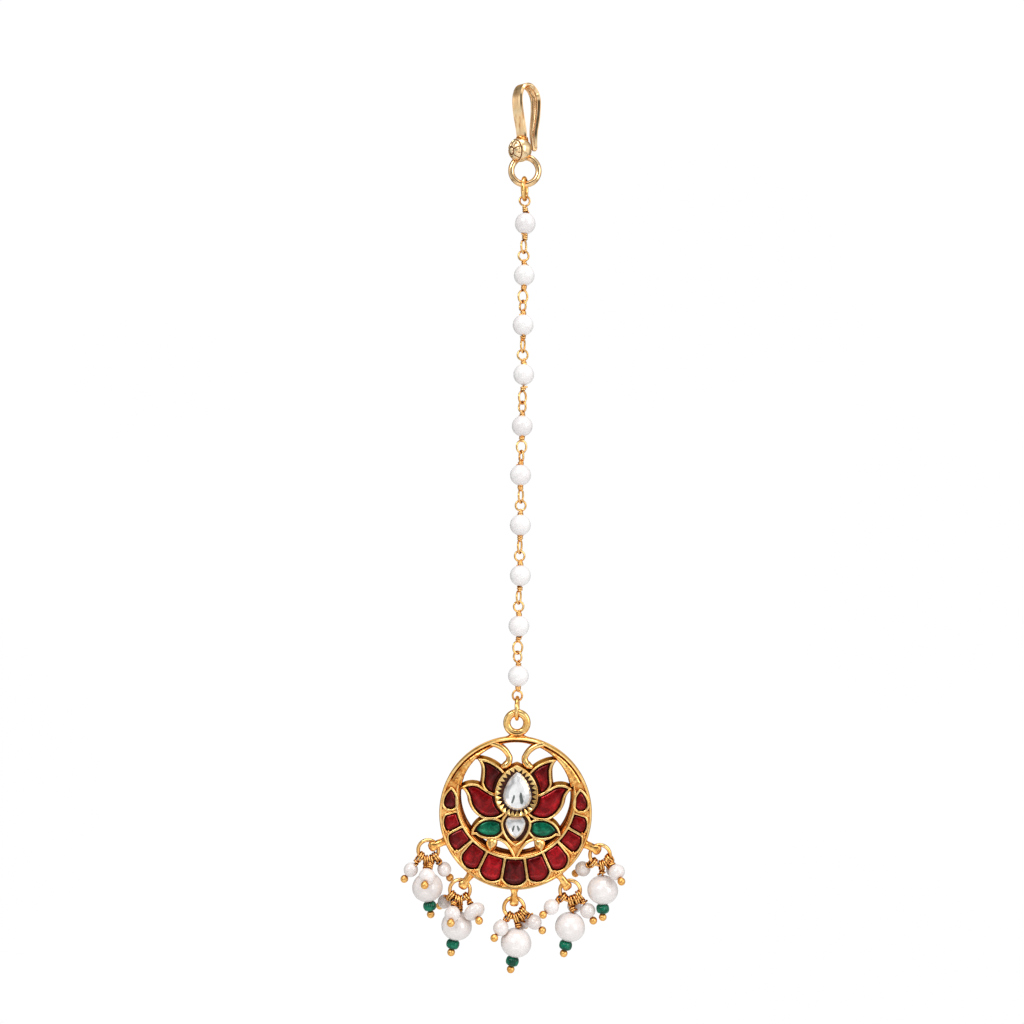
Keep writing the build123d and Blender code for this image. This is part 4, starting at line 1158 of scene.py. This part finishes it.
    # clear stones, rose cut, each with two narrow dark facets low in the middle, their darkness a painted
    # reflection
    stone = smooth2(lotus(EGG_STONE), 1)
    outer = stone[np.linspace(0, len(stone), 26, endpoint=False).astype(int)]
    c = np.array([LOTUS_X + 0.12, 3.60])
    big = Bag().put(cut_stone(outer, -0.7, -1.24, [(0.86, -1.60), (0.62, -1.80), (0.30, -1.88)],
                              -1.90, c), CLEAR, True)

    def facet(points, depth):
        pts = np.array(points, float)
        pts = pts[::-1] if area(pts) < 0 else pts
        return flat_mesh([pts], [], lambda own: True, depth, depth + 0.08, pend)

    big.put(facet([(-0.40, 3.32), (-0.16, 3.28), (-0.20, 2.70), (-0.50, 1.92), (-0.78, 1.95),
                   (-0.60, 2.60)], -1.90), CLEAR_PAINTED_REFLECTION, True)
    big.put(facet([(0.58, 3.05), (0.72, 3.78), (1.00, 3.70), (1.12, 3.00), (1.34, 2.30), (1.10, 1.72),
                   (0.78, 1.95)], -1.90), CLEAR_PAINTED_REFLECTION, True)
    big.make("kundan_centre", "pendant", "kundan", ["kundan_drop"], 5)
    body = clipped(even(inset(bud, 0.52)), inset(egg, -0.10))
    body[:, 0] = (body[:, 0] - LOTUS_X) * 0.90 + LOTUS_X - 0.10
    body[:, 1] = (body[:, 1] + 0.6) * 0.90 - 0.6
    outer = smooth2(body, 3)
    outer = outer[np.linspace(0, len(outer), 18, endpoint=False).astype(int)]
    c = np.mean(outer, 0)
    low = Bag().put(cut_stone(outer, PLATE_Y, -0.95, [(0.80, -1.22), (0.50, -1.34)], -1.38, c),
                    CLEAR, True)
    low.put(facet([(-0.30, -1.95), (-0.08, -1.92), (-0.20, -2.60), (-0.46, -3.05), (-0.62, -2.70)],
                  -1.38), CLEAR_PAINTED_REFLECTION, True)
    low.put(facet([(0.22, -2.00), (0.42, -1.92), (0.80, -2.50), (0.62, -3.00), (0.36, -2.60)],
                  -1.37), CLEAR_PAINTED_REFLECTION, True)
    low.make("kundan_lower", "pendant", "kundan", ["kundan_bud"], 5)

    # scrolls, stems and gold buds
    orn = Bag()
    for flip, line in scroll_lines.items():
        n = len(line)
        t = np.linspace(0, 1, n)
        rad = np.interp(t, [0, 0.15, 0.6, 0.80, 0.92, 1.0], [0.50, 0.52, 0.50, 0.60, 0.70, 0.52])
        orn.put(tube(pend(line, -0.68), rad, 16), SMOOTH)
    for sg in (1, -1):
        rows = [(-0.02, -7.70), (0.22, -7.26), (0.76, -6.18), (1.72, -4.96), (2.80, -4.36), (3.6, -4.2)]
        line = catmull([(sg * u + LOTUS_X, v, 0) for u, v in rows], 8)[:, :2]
        rad = np.interp(np.linspace(0, 1, len(line)), [0, 0.25, 1], [0.20, 0.27, 0.30])
        orn.put(tube(pend(line, -0.85), rad, 12), BEZEL)
        # spearhead with a keel down its middle
        b = catmull([(sg * u + LOTUS_X, v) for u, v in SPEAR], 6, True)
        b = b[::-1] if area(b) < 0 else b
        cc = np.mean(b, 0) + (0, 0.10)
        rows = [pend(b, PLATE_Y + 0.1), pend(b, -0.90), pend(cc + (b - cc) * 0.90, -1.06),
                pend(cc + (b - cc) * 0.60, -1.26)]
        keel = np.c_[cc[0] + (b[:, 0] - cc[0]) * 0.06, cc[1] + (b[:, 1] - cc[1]) * 0.55]
        rows.append(pend(keel, -1.42))
        orn.put(skin(np.array(rows)), SMOOTH)
    web = np.array([(LOTUS_X + u, v) for u, v in ((-1.9, -4.7), (1.9, -4.7), (0.85, -5.95), (0.25, -7.2),
                                                  (-0.25, -7.2), (-0.85, -5.95))])
    web = web[::-1] if area(web) < 0 else web
    orn.put(flat_mesh([even(web)], [], lambda own: True, -0.82, -0.4, pend), CAST)
    orn.make("scrolls_and_buds", "pendant", "antique_gold", (), 50)

    # bail ring: two rolled edges with a groove between, on a flared neck
    at_b = np.array([0, CY, DISC_Z + 15.23])
    prof = [(1.06, 0.0), (1.09, -0.26), (1.20, -0.46), (1.38, -0.58), (1.54, -0.60), (1.64, -0.575),
            (1.74, -0.61), (1.90, -0.64), (2.08, -0.60), (2.24, -0.44), (2.33, -0.18), (2.33, 0.18),
            (2.24, 0.46), (2.06, 0.61), (1.86, 0.60), (1.6, 0.56), (1.3, 0.46), (1.12, 0.24)]
    rings = []
    for th in np.arange(110) * TAU / 110:
        u = np.array([math.cos(th), 0, math.sin(th)])
        rings.append([at_b + u * r + np.array([0, dpt, 0]) for r, dpt in prof])
    bail = Bag().put(skin(np.array(rings), True), SMOOTH)
    rings = []
    an = np.arange(28) * TAU / 28
    for v, hw, ht in ((13.55, 0.85, 0.34), (13.35, 1.10, 0.48), (13.15, 1.30, 0.56), (12.98, 1.62, 0.60),
                      (12.84, 2.05, 0.64), (12.70, 2.75, 0.62), (12.56, 3.3, 0.50)):
        ring = []
        for q in an:
            cx, sy = math.cos(q), math.sin(q)
            e = 0.72
            x = hw * math.copysign(abs(cx) ** e, cx)
            y = ht * math.copysign(abs(sy) ** e, sy)
            ring.append([x, CY + y - 0.02, DISC_Z + v])
        rings.append(ring)
    bail.put(skin(np.array(rings)), CAST)
    bail.make("bail", "pendant", "antique_gold", (), 40)

    # lugs: drilled bars, waisted, with a rounded knuckle at the ring
    for i, row in enumerate(DROPS):
        a = math.radians(row[0])
        out = np.array([math.sin(a), 0, -math.cos(a)])
        side = np.array([math.cos(a), 0, math.sin(a)])
        o = np.array([0, CY, DISC_Z])
        lo_r, hi_r, hw = 12.45, 15.98, 0.84
        shape = np.vstack([line2((lo_r, -hw * 1.05), (13.4, -hw * 0.92)),
                           line2((13.4, -hw * 0.92), (hi_r - 0.75, -hw)),
                           arc3((hi_r - 0.75, -hw), (hi_r, 0), (hi_r - 0.75, hw)),
                           line2((hi_r - 0.75, hw), (13.4, hw * 0.92)),
                           line2((13.4, hw * 0.92), (lo_r, hw * 1.05)),
                           line2((lo_r, hw * 1.05), (lo_r, -hw * 1.05))])
        shape = smooth2(shape, 2)
        hole = circle(0.50, 28) + np.array([14.50, 0.0])

        def place(pts, w, out=out, side=side, o=o, i=i):
            r = pts[:, 0]
            wide = (1.02 + 0.55 * np.exp(-((r - 12.6) / 0.42) ** 2) - 0.06 * np.exp(-((r - 13.7) / 0.3) ** 2)
                    + 0.38 * np.exp(-((r - 15.2) / 0.52) ** 4) + 0.06 * np.sin(4.2 * r + 1.7 * i))
            return (o + out * r[:, None] + np.c_[np.zeros(len(r)), pts[:, 1], np.zeros(len(r))]
                    + side * (w * wide)[:, None])

        Bag().put(pillow(shape, hole, place, 0.56, 0.30), CAST).make(
            "lug_%d" % (i + 1), "pendant", "antique_gold", (), 50)


# ================================================================= drops
def build_drops():
    for i, (lug_deg, hang, loop_deg, px, pz, lean) in enumerate(DROPS):
        k = str(i + 1)
        ring = mid_mm("jump_ring_" + k)
        Bag().put(hoop(ring, (0, 1, 0), 1.70, 0.325, 84, 16, 0.010, gap=1.6, start=80 + 40 * i),
                  WIRE).make("drop_ring_" + k, "pendant", "antique_gold", ["jump_ring_" + k])
        dn = lambda deg: np.array([math.sin(math.radians(deg)), 0, -math.cos(math.radians(deg))])
        down = dn(lean)
        pearl_at = mid_mm("drop_pearl_" + k)
        lo, hi = box_mm("drop_pearl_" + k)
        wide, high = 2.64, 2.42
        hang_at = ring + dn(loop_deg) * 1.75
        neck = pearl_at - down * (high + 0.05)
        first = unit(neck - hang_at)
        bead_at = pearl_at + down * (high + 0.04 + 0.74)
        end_at = bead_at + down * (0.74 + 0.04 + 0.66)
        w = 0.36

        def loop_n(deg, d):
            a = math.radians(deg)
            tan = np.array([math.cos(a), 0, math.sin(a)])
            return unit(tan - d * np.dot(tan, d))

        bag = Bag()
        reach = np.linalg.norm(neck - hang_at)
        turns = max(1.2, (reach - 0.74 - w) / 0.40)
        path = wrapped_loop(neck, -first, loop_n(loop_deg, first), hang_at, 0.74, w, turns, 0.38,
                            1 if i % 2 else -1, 0.45, 1.0, 0.9 * i, 16, 2, 1.2)
        bag.put(tube(path, w / 2, 9), TWIST)
        bag.put(tube([neck - first * (reach - 0.6), neck - first * 0.3, neck + down * 0.3,
                      pearl_at, end_at], w / 2, 8), TWIST)
        balls = [(end_at, down)]
        seeds = Bag()
        for n_seed, (drop, deg, x, y, z, hw, hh) in enumerate(s for s in SEEDS if s[0] == i + 1):
            at = ring + np.array([x, y, z])
            h_at = ring + dn(deg) * 1.75
            d = unit(at - h_at)
            reach = np.linalg.norm(at - h_at)
            foot = at - d * (hh + 0.05)
            turns = max(1.2, (reach - hh - 0.78 - w) / 0.40)
            path = wrapped_loop(foot, -d, loop_n(deg, d), h_at, 0.78, w, turns, 0.38,
                                -1 if (i + n_seed) % 2 else 1, 0.40, 1.0, 1.3 * n_seed + i, 16, 2,
                                1.2)
            bag.put(tube(path, w / 2, 9), TWIST)
            e = at + d * (hh + 0.04 + 0.62)
            bag.put(tube([h_at + d * 0.66, foot, at, e], w / 2, 8), TWIST)
            balls.append((e, d))
            ph, ph2 = rng.uniform(0, 6), rng.uniform(0, 6)
            prof = [(0.22, -hh * 0.95)] + [(hw * math.cos(t), hh * math.sin(t))
                                          for t in np.linspace(-1.38, 1.38, 24)] + [(0.22, hh * 0.95)]
            seeds.put(lathe(prof, at, d, 34,
                            lambda an, h, ph=ph, ph2=ph2: 1 - 0.03 + 0.03 * np.sin(2 * an + ph)
                            + 0.012 * np.sin(5 * an + ph2 + 2.0 * h)), PEARL_SEED)
        for at, d in balls:
            r = 0.66
            prof = [(0.17, -r * 0.97)] + [(r * math.cos(t), r * math.sin(t))
                                         for t in np.linspace(-1.3, 1.5, 18)]
            bag.put(lathe(prof, at, d, 26), MATTE)
        bag.make("drop_wires_" + k, "pendant", "antique_gold", ["drop_pins_" + k], 60)
        seeds.make("seed_pearls_soft_" + k, "pendant", "pearl", ["seed_pearls_" + k], 70)

        ph = rng.uniform(0, 6)
        prof = [(0.24, -high * 0.955)] + [(wide * math.cos(t) * (1 - 0.02 * math.sin(t)), high * math.sin(t))
                                         for t in np.linspace(-1.42, 1.42, 44)] + [(0.24, high * 0.955)]
        Bag().put(lathe(prof, pearl_at, -down, 64,
                        lambda an, h, ph=ph: 1 - 0.014 + 0.012 * np.sin(2 * an + ph + 0.3 * h)
                        + 0.005 * np.sin(3 * an + h)), PEARL_BIG).make(
            "pearl_drop_" + k, "pendant", "pearl", ["drop_pearl_" + k], 70)
        prof = [(0.24, -0.66), (0.55, -0.74), (0.86, -0.66), (1.06, -0.40), (1.13, 0.0),
                (1.06, 0.40), (0.86, 0.66), (0.55, 0.74), (0.24, 0.66)]
        Bag().put(lathe(catmull([(a, b) for a, b in prof], 3), bead_at, down, 60,
                        lambda an, h: 1 - 0.055 + 0.055 * np.abs(np.cos(5 * an + 0.4 * i))), GREEN).make(
            "green_bead_glass_" + k, "pendant", "green_glass", ["green_bead_" + k], 60)


build_hook()
build_top_rings()
build_chain()
build_pendant()
build_drops()

# ---------------------------------------------------------------- studio
CENTRE_X, CENTRE_Z, DIST = -1.40, -72.25, 230.0
cam_data = bpy.data.cameras.new("camera")
cam = bpy.data.objects.new("camera", cam_data)
bpy.context.scene.collection.objects.link(cam)
bpy.context.scene.camera = cam
cam_data.sensor_width = 36.0
cam_data.lens = 36.0 / (2 * (174.1 / 2) / DIST)
cam.location = (CENTRE_X * MM, (CY - DIST) * MM, CENTRE_Z * MM)
cam.rotation_euler = (math.radians(90), 0, 0)
cam.rotation_euler.rotate_axis("Z", math.radians(0.9))
cam_data.clip_start, cam_data.clip_end = 0.01, 20.0

world = bpy.data.worlds.new("studio")
bpy.context.scene.world = world
world.use_nodes = True
wt = world.node_tree
bg = wt.nodes["Background"]
coord = wt.nodes.new("ShaderNodeTexCoord")
sep = wt.nodes.new("ShaderNodeSeparateXYZ")
wt.links.new(coord.outputs["Generated"], sep.inputs["Vector"])


def shade(src, stops):
    r = wt.nodes.new("ShaderNodeValToRGB")
    els = r.color_ramp.elements
    while len(els) < len(stops):
        els.new(0.5)
    for e, (pos, g) in zip(els, stops):
        e.position, e.color = pos, (g, g, g, 1)
    wt.links.new(src, r.inputs["Fac"])
    return r.outputs["Color"]


def mapped(src, low, high):
    r = wt.nodes.new("ShaderNodeMapRange")
    r.inputs["From Min"].default_value, r.inputs["From Max"].default_value = low, high
    wt.links.new(src, r.inputs["Value"])
    return r.outputs["Result"]


def times(a, b):
    n = wt.nodes.new("ShaderNodeMix")
    n.data_type, n.blend_type = "RGBA", "MULTIPLY"
    n.inputs["Factor"].default_value = 1.0
    ins = [i for i in n.inputs if i.type == "RGBA"]
    wt.links.new(a, ins[0])
    wt.links.new(b, ins[1])
    return [o for o in n.outputs if o.type == "RGBA"][0]


# tent round the object: bright panels with quiet gaps between, a dark port at the front, and
# less light behind
side_to_side = shade(mapped(sep.outputs["X"], -1, 1),
                     [(0.0, 1.20), (0.06, 0.60), (0.15, 0.50), (0.22, 0.34), (0.32, 0.70),
                      (0.38, 1.45), (0.46, 0.95), (0.54, 0.80), (0.62, 1.40), (0.71, 0.90),
                      (0.77, 0.55), (0.87, 1.00), (0.94, 0.80), (1.0, 1.40)])
up_down = shade(mapped(sep.outputs["Z"], -1, 1),
                [(0.0, 0.20), (0.26, 0.45), (0.36, 1.05), (0.48, 0.66), (0.58, 0.90), (0.66, 1.25),
                 (0.80, 0.75), (1.0, 1.25)])
front_to_back = shade(mapped(sep.outputs["Y"], -1, 1),
                      [(0.0, 1.05), (0.45, 1.0), (0.64, 0.82), (0.76, 0.42), (0.88, 0.42), (1.0, 0.95)])
port = wt.nodes.new("ShaderNodeVectorMath")
port.operation = "DOT_PRODUCT"
wt.links.new(coord.outputs["Generated"], port.inputs[0])
port.inputs[1].default_value = (0.04, -0.955, 0.294)
hole = shade(mapped(port.outputs["Value"], 0.80, 1.0), [(0.62, 1.0), (0.86, 0.10)])
tent = times(times(side_to_side, up_down), times(front_to_back, hole))
wt.links.new(tent, bg.inputs["Color"])
bg.inputs["Strength"].default_value = 0.97


def softbox(name, at, target, wide, tall, radiance):
    """Area light that looks as bright as said, whatever its size."""
    l = bpy.data.lights.new(name, "AREA")
    l.shape, l.size, l.size_y = "RECTANGLE", wide, tall
    l.energy = radiance * math.pi * wide * tall
    o = bpy.data.objects.new(name, l)
    bpy.context.scene.collection.objects.link(o)
    o.location = at
    o.rotation_euler = (Vector(target) - Vector(at)).to_track_quat("-Z", "Y").to_euler()
    o.visible_camera = False
    return o


aim = (0, 0, -0.09)
softbox("key", (-0.32, -0.50, 0.30), aim, 0.26, 0.22, 6.5)
softbox("fill", (0.46, -0.44, 0.06), aim, 0.24, 0.46, 3.0)
softbox("top", (0.04, -0.14, 0.50), aim, 0.40, 0.20, 3.8)
softbox("low", (-0.10, -0.50, -0.42), aim, 0.50, 0.08, 1.6)

# seamless white behind everything, seen by the camera alone
paper, pt, pb = nodes_of("backdrop_paper")
paper.cycles.emission_sampling = "NONE"
pt.nodes.remove(pb)
glow = pt.nodes.new("ShaderNodeEmission")
pt.links.new(ramp(pt, noise(pt, 0.5, 1), [(0.4, (1.0, 1.0, 1.0)), (0.6, (1.02, 1.02, 1.02))]),
             glow.inputs["Color"])
pt.links.new(glow.outputs["Emission"], pt.nodes["Material Output"].inputs["Surface"])
dome_v, dome_f = lathe([(4.0 * math.cos(q), 4.0 * math.sin(q)) for q in np.linspace(-1.5, 1.5, 24)],
                       (0, 0, 0), (0, 0, 1), 48)
me = bpy.data.meshes.new("backdrop")
me.from_pydata(dome_v.tolist(), [], dome_f)
me.materials.append(paper)
backdrop = bpy.data.objects.new("backdrop", me)
bpy.context.scene.collection.objects.link(backdrop)
for ray in ("diffuse", "glossy", "transmission", "volume_scatter", "shadow"):
    setattr(backdrop, "visible_" + ray, False)

me = bpy.data.meshes.new("floor")
ring = [(0.8 * math.cos(t), 0.8 * math.sin(t), -0.5) for t in np.linspace(0, TAU, 64, endpoint=False)]
me.from_pydata(ring, [], [list(range(64))])
floor = bpy.data.objects.new("floor", me)
bpy.context.scene.collection.objects.link(floor)
fm, ft, fb = nodes_of("floor_paper")
ft.links.new(ramp(ft, noise(ft, 40, 2), [(0.4, (0.86, 0.86, 0.86)), (0.6, (0.90, 0.90, 0.89))]),
             fb.inputs["Base Color"])
fb.inputs["Roughness"].default_value = 0.9
me.materials.append(fm)

bpy.context.scene.view_settings.view_transform = "Standard"
bpy.context.scene.view_settings.look = "None"
